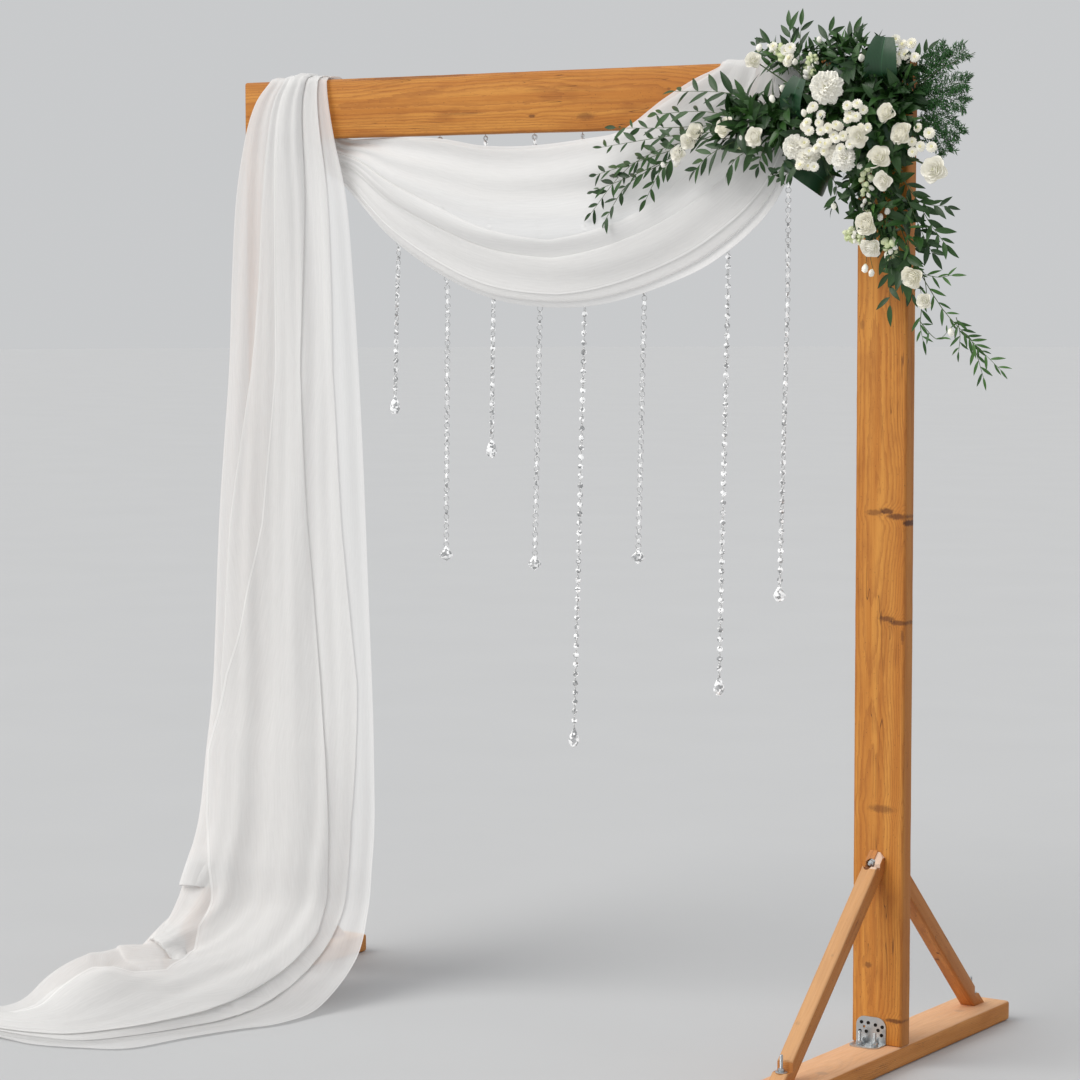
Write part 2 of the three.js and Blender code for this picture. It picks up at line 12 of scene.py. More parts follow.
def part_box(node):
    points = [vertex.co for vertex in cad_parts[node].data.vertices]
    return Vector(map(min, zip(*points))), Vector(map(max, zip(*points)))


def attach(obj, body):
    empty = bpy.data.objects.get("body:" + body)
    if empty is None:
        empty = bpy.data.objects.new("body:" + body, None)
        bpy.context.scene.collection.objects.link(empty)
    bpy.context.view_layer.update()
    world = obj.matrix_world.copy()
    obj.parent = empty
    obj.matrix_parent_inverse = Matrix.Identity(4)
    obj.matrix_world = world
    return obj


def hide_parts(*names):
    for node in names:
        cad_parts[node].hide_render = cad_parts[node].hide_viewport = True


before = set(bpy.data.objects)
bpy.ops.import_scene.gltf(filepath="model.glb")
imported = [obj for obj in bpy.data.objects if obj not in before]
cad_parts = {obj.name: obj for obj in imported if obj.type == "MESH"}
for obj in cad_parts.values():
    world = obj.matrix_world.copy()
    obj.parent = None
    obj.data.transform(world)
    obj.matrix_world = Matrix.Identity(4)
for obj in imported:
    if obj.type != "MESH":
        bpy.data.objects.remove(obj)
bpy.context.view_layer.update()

# The arch's own measures. X runs along the beam, Y to the back and Z up, from the floor midway between the
# posts.
beam_low, beam_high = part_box("top_beam")
MIDDLE = Vector(((beam_low.x + beam_high.x) / 2, (beam_low.y + beam_high.y) / 2, 0))
HALF_PLANK = (beam_high.y - beam_low.y) / 2


def arch(x, y, z):
    """A point of the arch, measured in millimetres from the floor midway between its posts."""
    return MIDDLE + Vector((x, y, z)) / 1000


# The studio: a pale floor that reaches past the horizon, a pale sky of the same shade, and one broad soft
# light high in front on the left. The eye stands 1.9 m up, to the right, with a long lens.
EYE = arch(4420.1, -6623.7, 1895.4)
YAW, PITCH, ROLL = math.radians(34.07), math.radians(-5.04), math.radians(-0.12)
bpy.ops.object.camera_add(location=EYE)
camera = bpy.context.object
camera.matrix_world = (
    Matrix.Translation(EYE) @ Matrix.Rotation(YAW, 4, "Z")
    @ Matrix.Rotation(math.pi / 2 + PITCH, 4, "X") @ Matrix.Rotation(ROLL, 4, "Z")
)
camera.data.sensor_width = 36
camera.data.lens = 107.33
camera.data.clip_end = 200
bpy.context.scene.camera = camera
bpy.context.scene.view_settings.view_transform = "Standard"
bpy.ops.object.light_add(type="SUN")
light = bpy.context.object
light.name = "soft_light"
light.data.energy, light.data.angle, light.data.color = 1.9, math.radians(50), (1.0, 0.975, 0.94)
light.rotation_euler = Vector((-0.42, -0.62, 0.72)).to_track_quat("Z", "Y").to_euler()
world = bpy.data.worlds.new("pale_sky")
world.use_nodes = True
world.node_tree.nodes["Background"].inputs["Color"].default_value = (0.97, 0.985, 1.0, 1)
world.node_tree.nodes["Background"].inputs["Strength"].default_value = 0.60
bpy.context.scene.world = world


def added(primitive, **settings):
    """A new primitive, made with nothing else selected."""
    bpy.ops.object.select_all(action="DESELECT")
    primitive(**settings)
    return bpy.context.object


FLOOR_RADIUS = 60
floor = added(bpy.ops.mesh.primitive_circle_add, vertices=64, radius=FLOOR_RADIUS, fill_type="NGON",
              location=(0, 0, -0.001))
floor.name = "floor"
bpy.ops.object.transform_apply(location=True)


class Wire:
    """A value on its way through a material; sums and products of wires add the nodes that work them out."""

    def __init__(self, finish, socket):
        self.finish, self.socket = finish, socket

    def maths(self, operation, *values):
        return self.finish.node("ShaderNodeMath", {"operation": operation}, dict(enumerate(values)))

    def __add__(self, other):
        return self.maths("ADD", self, other)

    def __sub__(self, other):
        return self.maths("SUBTRACT", self, other)

    def __rsub__(self, other):
        return self.maths("SUBTRACT", other, self)

    def __mul__(self, other):
        return self.maths("MULTIPLY", self, other)

    def __truediv__(self, other):
        return self.maths("DIVIDE", self, other)

    def __pow__(self, other):
        return self.maths("POWER", self, other)

    __radd__ = __add__
    __rmul__ = __mul__

    def size(self):
        return self.maths("ABSOLUTE", self)

    def least(self, other):
        return self.maths("MINIMUM", self, other)


class Finish:
    """A material with one main shader. Constants are set on the shader's own sockets by name."""

    def __init__(self, name, **constants):
        self.material = bpy.data.materials.new(name)
        self.material.use_nodes = True
        self.tree = self.material.node_tree
        self.shader = self.tree.nodes["Principled BSDF"]
        for socket, value in constants.items():
            self.shader.inputs[socket.replace("_", " ")].default_value = value

    def node(self, kind, settings, sockets, output=0):
        """One node: its settings first, then the values or wires of its sockets."""
        made = self.tree.nodes.new(kind)
        for key, value in settings.items():
            setattr(made, key, value)
        for key, value in sockets.items():
            if isinstance(value, Wire):
                self.tree.links.new(value.socket, made.inputs[key])
            else:
                made.inputs[key].default_value = value
        return Wire(self, made.outputs[output])

    def place(self):
        return self.node("ShaderNodeTexCoord", {}, {}, "Object")

    def parts(self, vector):
        split = self.node("ShaderNodeSeparateXYZ", {}, {0: vector})
        return [Wire(self, socket) for socket in split.socket.node.outputs]

    def point(self, x, y, z=0.0):
        return self.node("ShaderNodeCombineXYZ", {}, {0: x, 1: y, 2: z})

    def noise(self, vector, scale, detail=2.0, rough=0.5, swirl=0.0):
        sockets = {"Vector": vector, "Scale": scale, "Detail": detail, "Roughness": rough,
                   "Distortion": swirl}
        return self.node("ShaderNodeTexNoise", {}, sockets)

    def fade(self, value, low, high):
        """0 below low, 1 above high, smooth between; turned round where high is the smaller."""
        ends = {1: low, 2: high, 3: 0.0, 4: 1.0} if low < high else {1: high, 2: low, 3: 1.0, 4: 0.0}
        return self.node("ShaderNodeMapRange", {"interpolation_type": "SMOOTHSTEP"}, {0: value, **ends})

    def mix(self, share, a, b, blend="MIX"):
        full = lambda colour: colour if isinstance(colour, Wire) else (*colour, 1)
        settings = {"data_type": "RGBA", "blend_type": blend}
        return self.node("ShaderNodeMix", settings, {0: share, 6: full(a), 7: full(b)}, 2)

    def set(self, **wires):
        for socket, wire in wires.items():
            self.tree.links.new(wire.socket, self.shader.inputs[socket.replace("_", " ")])

    def bump(self, height, distance, strength=1.0):
        sockets = {"Strength": strength, "Distance": distance, "Height": height}
        self.set(Normal=self.node("ShaderNodeBump", {}, sockets))


stone = Finish("pale_floor", Roughness=0.8)
cloudy = stone.noise(stone.place(), 1.5, 3.0)
stone.set(Base_Color=stone.mix(cloudy, (0.57, 0.577, 0.585), (0.60, 0.607, 0.615)))
floor.data.materials.append(stone.material)

# The planks: beam, posts and feet are planed pine, 150, 132 and 130 mm wide, stained honey brown. Their long
# edges are worn round, the ends are sawn, and screws and angle brackets hold them together.
LONG_EDGE, SAWN_EDGE = 0.007, 0.003
PLANK_CUTS = 70
# Knots on each plank's front, in millimetres from its middle: along, across, half length, half width, and
# darkness
KNOTS = {
    "top_beam": [
        (-451, 71, 190, 3, 0.5), (-65, -35, 9, 4, 0.7), (92, -39, 26, 9, 0.45), (-273, -23, 60, 3, 0.35),
        (330, 20, 7, 3, 0.5), (610, -10, 9, 8, 0.9),
    ],
    "left_post": [
        (260, 20, 12, 14, 0.9), (-180, -25, 10, 9, 0.8), (-600, 15, 10, 14, 0.9), (640, -8, 12, 9, 0.8),
    ],
    "right_post": [
        (183, 18, 7, 17, 0.85), (178, -14, 7, 22, 0.55), (171, 44, 7, 26, 0.8), (156, 68, 7, 8, 1.0),
        (-68, 20, 6, 20, 0.7), (-76, 50, 6, 22, 0.75), (-108, 60, 16, 4, 0.6), (-515, 10, 9, 34, 0.5),
        (-888, -23, 7, 9, 0.6), (-1014, 47, 5, 22, 0.8), (670, 10, 9, 5, 0.35), (612, -50, 12, 6, 0.35),
    ],
    "left_foot": [(-300, 20, 14, 16, 0.8), (220, -22, 12, 10, 0.8)],
    "right_foot": [(-330, 26, 13, 15, 0.85), (120, -30, 11, 10, 0.7), (390, 10, 14, 12, 0.8)],
}
PINE = ((0.69, 0.295, 0.052), (0.56, 0.205, 0.028), (0.32, 0.092, 0.012))
# A lighter copy of the pine tones for the feet: painted sunlight.
PINE_PAINTED_SUNLIT = ((0.82, 0.37, 0.090), (0.68, 0.27, 0.050), (0.40, 0.130, 0.020))
KNOT_BROWN = (0.085, 0.022, 0.006)


def knotted(wood, along, across, ragged, knots):
    """How far the knots push the rings aside, and how dark they are themselves."""
    push, mask = 0.0, 0.0
    for a, b, long, wide, darkness in knots:
        da = (along - a / 1000) / (long / 1000)
        db = (across - b / 1000) / (wide / 1000)
        away = (da * da + db * db) ** 0.5
        push = push + wood.fade(away, 4.5, 0.4) * (0.004 + 0.3e-3 * min(long, wide))
        mask = mask + wood.fade(away + ragged * 1.3, 1.35, 0.55) * darkness
    return push, mask


def late_wood(wood, along, across, through, push, seed):
    """The dark outer wood of the rings, which lie 3.3 mm apart round a pith behind the plank."""
    wander = wood.noise(wood.point(along * 1.1 + seed, across * 2.2, through * 2.2), 1.6, 1.5) - 0.5
    pith = 0.075 + 0.01 * math.sin(seed * 7)
    side = across + wander * 0.055 + 0.018 * math.cos(seed * 5) + push
    deep = through + pith + wander * 0.03
    ring = (side * side + deep * deep) ** 0.5
    fuzz = wood.noise(wood.point(along * 7, across * 55, through * 55 + seed), 4.0, 3.0, 0.6) - 0.5
    turns = ring * 300 + fuzz * 0.9
    phase = turns.maths("FRACT", turns)
    return wood.fade(phase, 0.35, 0.93) * wood.fade(phase, 1.0, 0.93)


def pine(name, middle, directions, half_width, knots, tones, seed, sawn):
    """Stained pine whose rings run along the first direction. The others point across and through the
    plank. Sawn gives its cut faces their look."""
    light, mid, dark = tones
    wood = Finish(name, Specular_IOR_Level=0.42, Coat_Roughness=0.35)
    place = wood.place()
    off = wood.node("ShaderNodeVectorMath", {"operation": "SUBTRACT"}, {0: place, 1: middle})
    along, across, through = (
        wood.node("ShaderNodeVectorMath", {"operation": "DOT_PRODUCT"}, {0: off, 1: way}, 1)
        for way in directions
    )
    ragged = wood.noise(wood.point(along, across, through + seed), 130, 3.0, 0.65) - 0.5
    push, knot_mask = knotted(wood, along, across, ragged, knots)
    late = late_wood(wood, along, across, through, push, seed)
    bands = wood.noise(wood.point(along * 0.7 + seed, across * 22, through * 22), 2.2, 3.0, 0.55)
    fibres = wood.noise(wood.point(along * 9, across * 300, through * 300), 3.0, 3.0, 0.7)
    streaks = wood.noise(wood.point(along * 3 + seed, across * 120, through * 120), 2.5, 2.0, 0.5)
    patches = wood.noise(wood.point(along * 5, across * 14 + seed, through * 14), 1.6, 3.0, 0.5)
    colour = wood.mix(wood.fade(bands, 0.36, 0.66), mid, light)
    # Darker towards the plank's long edges.
    edge_band = wood.fade(across.size() + ragged * 0.003, half_width - 0.009, half_width - 0.002)
    for mask, share in ((wood.fade(patches, 0.5, 0.78), 0.45), (late, 0.42),
                        (wood.fade(streaks, 0.60, 0.74), 0.35), (wood.fade(fibres, 0.45, 0.75), 0.22),
                        (edge_band, 0.38)):
        colour = wood.mix(mask * share, colour, dark)
    specks = wood.noise(wood.point(along, across * 1.6 + seed, through * 1.6), 170, 1.0, 0.4)
    colour = wood.mix(wood.fade(specks, 0.70, 0.76) * 0.5, colour, KNOT_BROWN)
    check_line = wood.noise(wood.point(along * 1.3 + seed, across * 34, through * 34), 1.9, 1.0, 0.3)
    cracked = wood.noise(wood.point(along * 4, across * 8 + seed, through * 8), 1.7, 1.0)
    crack = wood.fade((check_line - 0.5).size(), 0.006, 0.001) * wood.fade(cracked, 0.56, 0.62)
    colour = wood.mix(crack * 0.7, colour, KNOT_BROWN)
    colour = wood.mix(knot_mask.least(1.0) * 0.93, colour, KNOT_BROWN)
    rough = 0.44 + fibres * 0.16 + patches * 0.1
    colour, rough = sawn(wood, along, across, through, colour, rough)
    wood.set(Base_Color=colour, Roughness=rough)
    height = bands * 0.4 + fibres * 0.25 - late * 0.3 - crack * 1.2 - streaks * 0.2 - knot_mask * 0.5
    wood.bump(height, 0.0008, 0.7)
    return wood.material


def sawn_ends(half_length, lit_top_height=None):
    """The end grain soaks up more stain, and shows the saw's marks; a foot's top face is painted paler, as
    painted sunlight.
    """
    def darken(wood, along, across, through, colour, rough):
        # Painted sunlight: the top face of a foot turns to a paler tone.
        if lit_top_height:
            lit_top = wood.fade(through, lit_top_height - 0.0035, lit_top_height - 0.0012)
            grain = wood.noise(wood.point(along * 8, across * 90, through * 90), 2.0, 3.0)
            painted_light_tone = wood.mix(grain, (0.98, 0.66, 0.43), (0.80, 0.46, 0.25))
            colour, rough = wood.mix(lit_top * 0.72, colour, painted_light_tone), rough + lit_top * 0.15
        ends = wood.fade(along.size(), half_length - 0.0022, half_length - 0.0008)
        marks = wood.noise(wood.point(across * 30, through * 260, along), 3.0, 2.0, 0.6)
        soaked = wood.mix(marks * 0.5, (0.20, 0.062, 0.016), (0.34, 0.13, 0.036))
        return wood.mix(ends * 0.85, colour, soaked), rough + ends * 0.3
    return darken


def settle(piece, name, slot, *nodes):
    """Names a finished piece and fixes it to the arch in place of its plain solids."""
    piece.name = piece.data.name = name
    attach(piece, "root")
    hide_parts(*nodes)


def keep(piece, name, material, slot, *nodes):
    """Gives a finished piece its material, and settles it."""
    piece.data.materials.clear()
    piece.data.materials.append(material)
    settle(piece, name, slot, *nodes)


def alone(piece):
    """Selects this piece and nothing else."""
    bpy.ops.object.select_all(action="DESELECT")
    piece.select_set(True)
    bpy.context.view_layer.objects.active = piece


def apply_all(piece):
    """Applies a piece's modifiers in turn, as the only piece selected."""
    alone(piece)
    for modifier in list(piece.modifiers):
        bpy.ops.object.modifier_apply(modifier=modifier.name)


def block(low, high):
    """A box between two corners, placed and sized."""
    piece = added(bpy.ops.mesh.primitive_cube_add, size=1, location=(Vector(low) + Vector(high)) / 2)
    piece.scale = Vector(high) - Vector(low)
    bpy.ops.object.transform_apply(location=True, rotation=False, scale=True)
    return piece


def select_where(piece, kind, wanted):
    """In edit mode, selects a piece's corners, edges or faces for which wanted is true."""
    bpy.ops.object.mode_set(mode="EDIT")
    bpy.ops.mesh.select_mode(type=kind)
    bpy.ops.mesh.select_all(action="DESELECT")
    mesh = bmesh.from_edit_mesh(piece.data)
    for element in {"VERT": mesh.verts, "EDGE": mesh.edges, "FACE": mesh.faces}[kind]:
        element.select_set(wanted(element))
    bmesh.update_edit_mesh(piece.data)


def on_edges(piece, wanted, operator, **settings):
    """Runs an operator on the edges for which wanted(first corner, second corner) is true."""
    select_where(piece, "EDGE", lambda edge: wanted(edge.verts[0].co, edge.verts[1].co))
    operator(**settings)
    bpy.ops.object.mode_set(mode="OBJECT")


hand_worn = bpy.data.textures.new("hand_worn", "CLOUDS")
hand_worn.noise_scale = 0.055
hand_worn.noise_depth = 2


def plank(node, axis):
    """A sawn plank in its solid's box, its long edges worn round, its faces a little uneven."""
    low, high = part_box(node)
    long_way = high[axis] - low[axis]
    piece = block(low, high)
    on_edges(piece, lambda a, b: abs((a - b).normalized()[axis]) > 0.9,
             bpy.ops.mesh.bevel, offset=LONG_EDGE, segments=4, profile=0.5, affect="EDGES")
    on_edges(piece, lambda a, b: abs(a[axis] - b[axis]) < 1e-6,
             bpy.ops.mesh.bevel, offset=SAWN_EDGE, segments=2, profile=0.5, affect="EDGES")
    on_edges(piece, lambda a, b: abs(a[axis] - b[axis]) > long_way / 2,
             bpy.ops.mesh.subdivide, number_cuts=PLANK_CUTS)
    dent = piece.modifiers.new("dents", "DISPLACE")
    dent.texture, dent.texture_coords, dent.strength, dent.mid_level = hand_worn, "LOCAL", 0.0012, 0.62
    apply_all(piece)
    bpy.ops.object.shade_smooth_by_angle(angle=math.radians(50))
    return piece


ALONG_X, ALONG_Y, ALONG_Z = Vector((1, 0, 0)), Vector((0, 1, 0)), Vector((0, 0, 1))
# Each plank's long axis, and the ways that point along, across and through it
PLANKS = {
    "top_beam": (0, (ALONG_X, ALONG_Z, -ALONG_Y)),
    "left_post": (2, (ALONG_Z, ALONG_X, -ALONG_Y)),
    "right_post": (2, (ALONG_Z, ALONG_X, -ALONG_Y)),
    "left_foot": (1, (ALONG_Y, ALONG_X, ALONG_Z)),
    "right_foot": (1, (ALONG_Y, ALONG_X, ALONG_Z)),
}
for seed, (node, (axis, directions)) in enumerate(PLANKS.items()):
    low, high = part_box(node)
    spread = high - low
    half_width = abs(spread.dot(directions[1])) / 2
    is_foot = node.endswith("foot")
    # The feet take the lighter pine tones and a paler top face, both painted sunlight.
    tones = PINE_PAINTED_SUNLIT if is_foot else PINE
    sawn = sawn_ends(spread[axis] / 2, spread.z / 2 if is_foot else None)
    stain = pine(f"stained_pine_{node}", (low + high) / 2, directions, half_width, KNOTS[node], tones,
                 1.7 * seed + 0.4, sawn)
    keep(plank(node, axis), f"{node}_plank", stain, "stained_pine", node)

# The braces: 40 mm laths of paler stained pine that lean from the foot to the post at 44 degrees. The top
# end is sawn plumb and notched to a wedge in two cuts, with a bored pocket for the bolt. The toe is sawn
# level and notched for a washer, and the left back brace is a shorter one.
BRACE_SIZE, BRACE_TOP, BRACE_REACH = 40, 467, 486
LATH_HALF_LENGTH, LATH_EDGE = 0.42, 0.0045
NOTCH_OUT, TAB_TOP = 40, 461
# The cuts at the top end, the notch and the wedge's two halves: each has a line of points (out, up), and
# where it starts and ends across the lath
TOP_CUTS = [
    ([(24, 424), (31, 421), (40, 428.6)], -60, 60),
    ([(-2, 464), (24.5, 429.4)], -60, 1),
    ([(-2, 459.6), (24.5, 423.4)], 0.8, 60),
]
HEAD_SEAT, HEAD_UP, HEAD_ASIDE, HEAD_ROOM, HEAD_WASHER = 13, 433, 6, 0.6, 10.5
TOE_THICKNESS, TOE_BOLT, WASHER_RADIUS = 28, 448, 14
LEFT_BACK_SHORTER = 236
FOOT_TOP = 1000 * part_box("right_foot")[1].z
SEAT = 0.3
FACE = 1000 * HALF_PLANK + SEAT
post_low, post_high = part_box("right_post")
POST_X = 1000 * ((post_low.x + post_high.x) / 2 - MIDDLE.x)
slope = math.atan2(BRACE_TOP, BRACE_REACH)


def brace_point(out, up, across=0):
    """A point beside the right post's front: distance out from its face, height above the foot."""
    return arch(POST_X + across, -FACE - out, FOOT_TOP + SEAT + up)


def cut(piece, place, away):
    """Saws a piece flat and drops what lies on the side that away points to."""
    alone(piece)
    bpy.ops.object.mode_set(mode="EDIT")
    bpy.ops.mesh.select_all(action="SELECT")
    bpy.ops.mesh.bisect(plane_co=place, plane_no=away, use_fill=True, clear_outer=True)
    bpy.ops.object.mode_set(mode="OBJECT")


def throw_away(*models):
    """Takes away models that only served to make others."""
    for model in models:
        bpy.data.objects.remove(model)


def carve(piece, tool, operation="DIFFERENCE"):
    """Cuts a tool's shape out of a piece, or joins it on, and throws the tool away."""
    step = piece.modifiers.new("carve", "BOOLEAN")
    step.object, step.operation, step.solver = tool, operation, "EXACT"
    apply_all(piece)
    throw_away(tool)


def round_edges(piece, width, segments, angle=35):
    """Rounds a piece's sharp edges."""
    bevel = piece.modifiers.new("round", "BEVEL")
    bevel.width, bevel.segments, bevel.limit_method = width, segments, "ANGLE"
    bevel.angle_limit = math.radians(angle)
    apply_all(piece)
    bpy.ops.object.shade_smooth_by_angle(angle=math.radians(40))


def cylinder(radius, height, sides, base=(0, 0, 0)):
    """A round bar standing on base, in millimetres."""
    middle = (Vector(base) + Vector((0, 0, height / 2))) / 1000
    piece = added(bpy.ops.mesh.primitive_cylinder_add, vertices=sides, radius=radius / 1000,
                  depth=height / 1000, location=middle)
    bpy.ops.object.transform_apply(location=True)
    return piece


def over_line(points, across_from, across_to, shorter):
    """A tool that fills the room over a line of points (out, up) beside the post. The line bends only
    upward."""
    lower = shorter * BRACE_TOP / BRACE_REACH
    lowest = min(up for out, up in points) - lower - 1
    tool = block(brace_point(points[-1][0] + 2, lowest, across_from),
                 brace_point(points[0][0], BRACE_TOP + 60 - lower, across_to))
    for (a, b), (c, d) in zip(points, points[1:]):
        cut(tool, brace_point(a, b - lower), (0, b - d, a - c))
    return tool


def lath(shorter=0):
    """The brace at the right post's front, or one that reaches less far."""
    half = BRACE_SIZE / 2000
    lower = shorter * BRACE_TOP / BRACE_REACH
    lath_middle = brace_point((BRACE_REACH - shorter) / 2 - BRACE_SIZE / 2 * math.sin(slope),
                              (BRACE_TOP - lower) / 2 - BRACE_SIZE / 2 * math.cos(slope))
    piece = block((-half, -LATH_HALF_LENGTH, -half), (half, LATH_HALF_LENGTH, half))
    on_edges(piece, lambda a, b: abs(a.y - b.y) > 0.1,
             bpy.ops.mesh.bevel, offset=LATH_EDGE, segments=4, affect="EDGES")
    piece.data.transform(Matrix.Translation(lath_middle) @ Matrix.Rotation(slope, 4, "X"))
    cut(piece, brace_point(0, 0), (0, 1, 0))
    cut(piece, brace_point(0, 0), (0, 0, -1))
    cut(piece, brace_point(0, TAB_TOP - lower), (0, 0, 1))
    cut(piece, brace_point(0, TAB_TOP - 1.5 - lower, 5.5), (5.1, 0, 14.5))
    for line, across_from, across_to in TOP_CUTS:
        carve(piece, over_line(line, across_from, across_to, shorter))
    pocket = cylinder(HEAD_WASHER + HEAD_ROOM, NOTCH_OUT, 32)
    pocket.data.transform(Matrix.Translation(brace_point(HEAD_SEAT, HEAD_UP - lower, -HEAD_ASIDE))
                          @ Matrix.Rotation(math.pi / 2, 4, "X"))
    carve(piece, pocket)
    toe_wall = TOE_BOLT - WASHER_RADIUS - 3 - shorter
    carve(piece, block(brace_point(BRACE_REACH + 40 - shorter, TOE_THICKNESS, -60),
                       brace_point(toe_wall, 160, 60)))
    round_edges(piece, 0.0009, 2)
    return piece


def to_corner(piece, sideways, backward):
    """A copy of a piece made at the right post's front, taken to the left post or turned to the back."""
    alone(piece)
    bpy.ops.object.duplicate()
    turned = bpy.context.object
    turned.data = turned.data.copy()
    turned.data.materials.clear()
    shift = Matrix.Translation((-2 * POST_X / 1000 if sideways else 0, 0, 0))
    pivot = arch(POST_X, 0, 0)
    spin = Matrix.Translation(pivot) @ Matrix.Rotation(math.pi, 4, "Z") @ Matrix.Translation(-pivot)
    turned.data.transform(shift @ (spin if backward else Matrix.Identity(4)))
    return turned


PALE_PINE = ((0.67, 0.29, 0.075), (0.55, 0.205, 0.042), (0.34, 0.105, 0.022))
CORNERS = [("right_front", False, False), ("right_back", False, True),
           ("left_front", True, False), ("left_back", True, True)]


def brace_cuts(top, outward):
    """Top paler by painted reflection and dust; wedge half sawn last raw; notch floor dark: painted shade,
    end grain.
    """
    def show(wood, along, across, through, colour, rough):
        x, y, z = wood.parts(wood.place())
        half = BRACE_SIZE / 2000
        grain = wood.noise(wood.point(along * 9, across * 120, through * 120), 2.0, 3.0)
        painted_light_tone = wood.mix(grain, (0.70, 0.42, 0.21), (0.57, 0.30, 0.125))
        # Paler upper face: painted reflection of the sky, with some dust.
        colour = wood.mix(wood.fade(through, half - 0.0045, half - 0.0012) * 0.75, colour, painted_light_tone)
        sides = wood.fade(across.size(), half - 0.0004, half - 0.0011)
        raw = wood.fade(z, top - 0.0365, top - 0.0355) * wood.fade(across * outward, 0.0006, 0.0012) * sides
        fresh = wood.mix(wood.noise(wood.place(), 160, 2.0), (0.84, 0.64, 0.50), (0.72, 0.50, 0.37))
        below = wood.fade(through, half - 0.0005, half - 0.0020)
        # Darker notch floor: painted shade in the recess, with its darker end grain.
        notch_shade_and_end_grain = wood.fade((z - (top - 0.0375)).size(), 0.0062, 0.0042) * below * sides
        colour = wood.mix(notch_shade_and_end_grain * 0.7, colour, (0.13, 0.04, 0.014))
        return wood.mix(raw * 0.92, colour, fresh), rough + raw * 0.25
    return show


usual_brace, short_brace = lath(), lath(LEFT_BACK_SHORTER)
for seed, (corner, sideways, backward) in enumerate(CORNERS):
    node = f"{corner}_brace"
    low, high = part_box(node)
    lean = -1 if backward else 1
    up_slope = Vector((0, lean * math.cos(slope), math.sin(slope)))
    off_slope = Vector((0, -lean * math.sin(slope), math.cos(slope)))
    knots = [(30 - 90 * seed, 4, 4, 4, 0.9), (-160 + 70 * seed, -8, 5, 6, 0.7)]
    sunk = BRACE_SIZE / 2 - (BRACE_TOP - TAB_TOP) / 2 * math.cos(slope)
    lath_axis = (low + high) / 2 - off_slope * sunk / 1000
    stain = pine(f"pale_pine_{node}", lath_axis, (up_slope, ALONG_X, off_slope), BRACE_SIZE / 2000, knots,
                 PALE_PINE, 3.1 + 2.3 * seed, brace_cuts(high.z, lean))
    brace = short_brace if corner == "left_back" else usual_brace
    keep(to_corner(brace, sideways, backward), f"{node}_lath", stain, "pale_stained_pine", node)
throw_away(usual_brace, short_brace)

# The braces' bolts: 8 mm zinc-plated studs with a nut and washer, one standing up through each toe, one lying
# in the pocket of each wedge and through the post.
BOLT_RADIUS, NUT_RADIUS, NUT_HEIGHT, WASHER_THICKNESS, TOE_PROUD, HEAD_PROUD = 4, 7.5, 7, 2, 40, 17
THREAD_PITCH = 1.25


def joined(pieces):
    """Several objects made one mesh."""
    alone(pieces[0])
    for piece in pieces:
        piece.select_set(True)
    bpy.ops.object.join()
    return bpy.context.object


def washer(radius, thickness):
    """A flat washer with its hole."""
    ring = cylinder(radius, thickness, 28)
    carve(ring, cylinder(BOLT_RADIUS + 0.4, 4 * thickness, 20, (0, 0, -thickness)))
    round_edges(ring, 0.0004, 2)
    return ring


def nut(base):
    """A hexagon nut, its corners turned off at its top end."""
    hexagon = cylinder(NUT_RADIUS, NUT_HEIGHT, 6, (0, 0, base))
    cone = added(bpy.ops.mesh.primitive_cone_add, vertices=32, radius1=0.0128, radius2=0.0060, depth=0.0105,
                 location=(0, 0, (base + 3.9) / 1000))
    bpy.ops.object.transform_apply(location=True)
    carve(hexagon, cone, "INTERSECT")
    round_edges(hexagon, 0.0003, 1)
    return hexagon


def stud(start, end):
    """A threaded end: the thread's crests and roots as turned rings, a chamfer at the tip."""
    piece = cylinder(BOLT_RADIUS, end - start, 20, (0, 0, start))
    turns = int((end - start) / THREAD_PITCH * 2)
    on_edges(piece, lambda a, b: abs(a.z - b.z) > 1e-4, bpy.ops.mesh.subdivide, number_cuts=turns)
    for vertex in piece.data.vertices:
        step = round((vertex.co.z * 1000 - start) / (end - start) * (turns + 1))
        shrink = 0.86 if step % 2 or step > turns else 1.0
        vertex.co.x *= shrink
        vertex.co.y *= shrink
    return piece


def plated(name, tint, rough):
    """Zinc plate: bright, with a faint spangle and dull patches, and black where its attribute says so."""
    zinc = Finish(name, Metallic=1.0)
    place = zinc.place()
    spangle = zinc.noise(place, 420, 2.0, 0.6)
    dull = zinc.noise(place, 70, 3.0)
    bright = tuple(min(1, 1.25 * v) for v in tint)
    black = zinc.node("ShaderNodeAttribute", {"attribute_name": "black"}, {}, 2)
    colour = zinc.mix(black, zinc.mix(dull, tint, bright), (0.030, 0.028, 0.026))
    zinc.set(Base_Color=colour, Roughness=spangle * 0.18 + dull * 0.15 + black * 0.15 + rough)
    zinc.bump(spangle, 0.0002, 0.3)
    return zinc.material


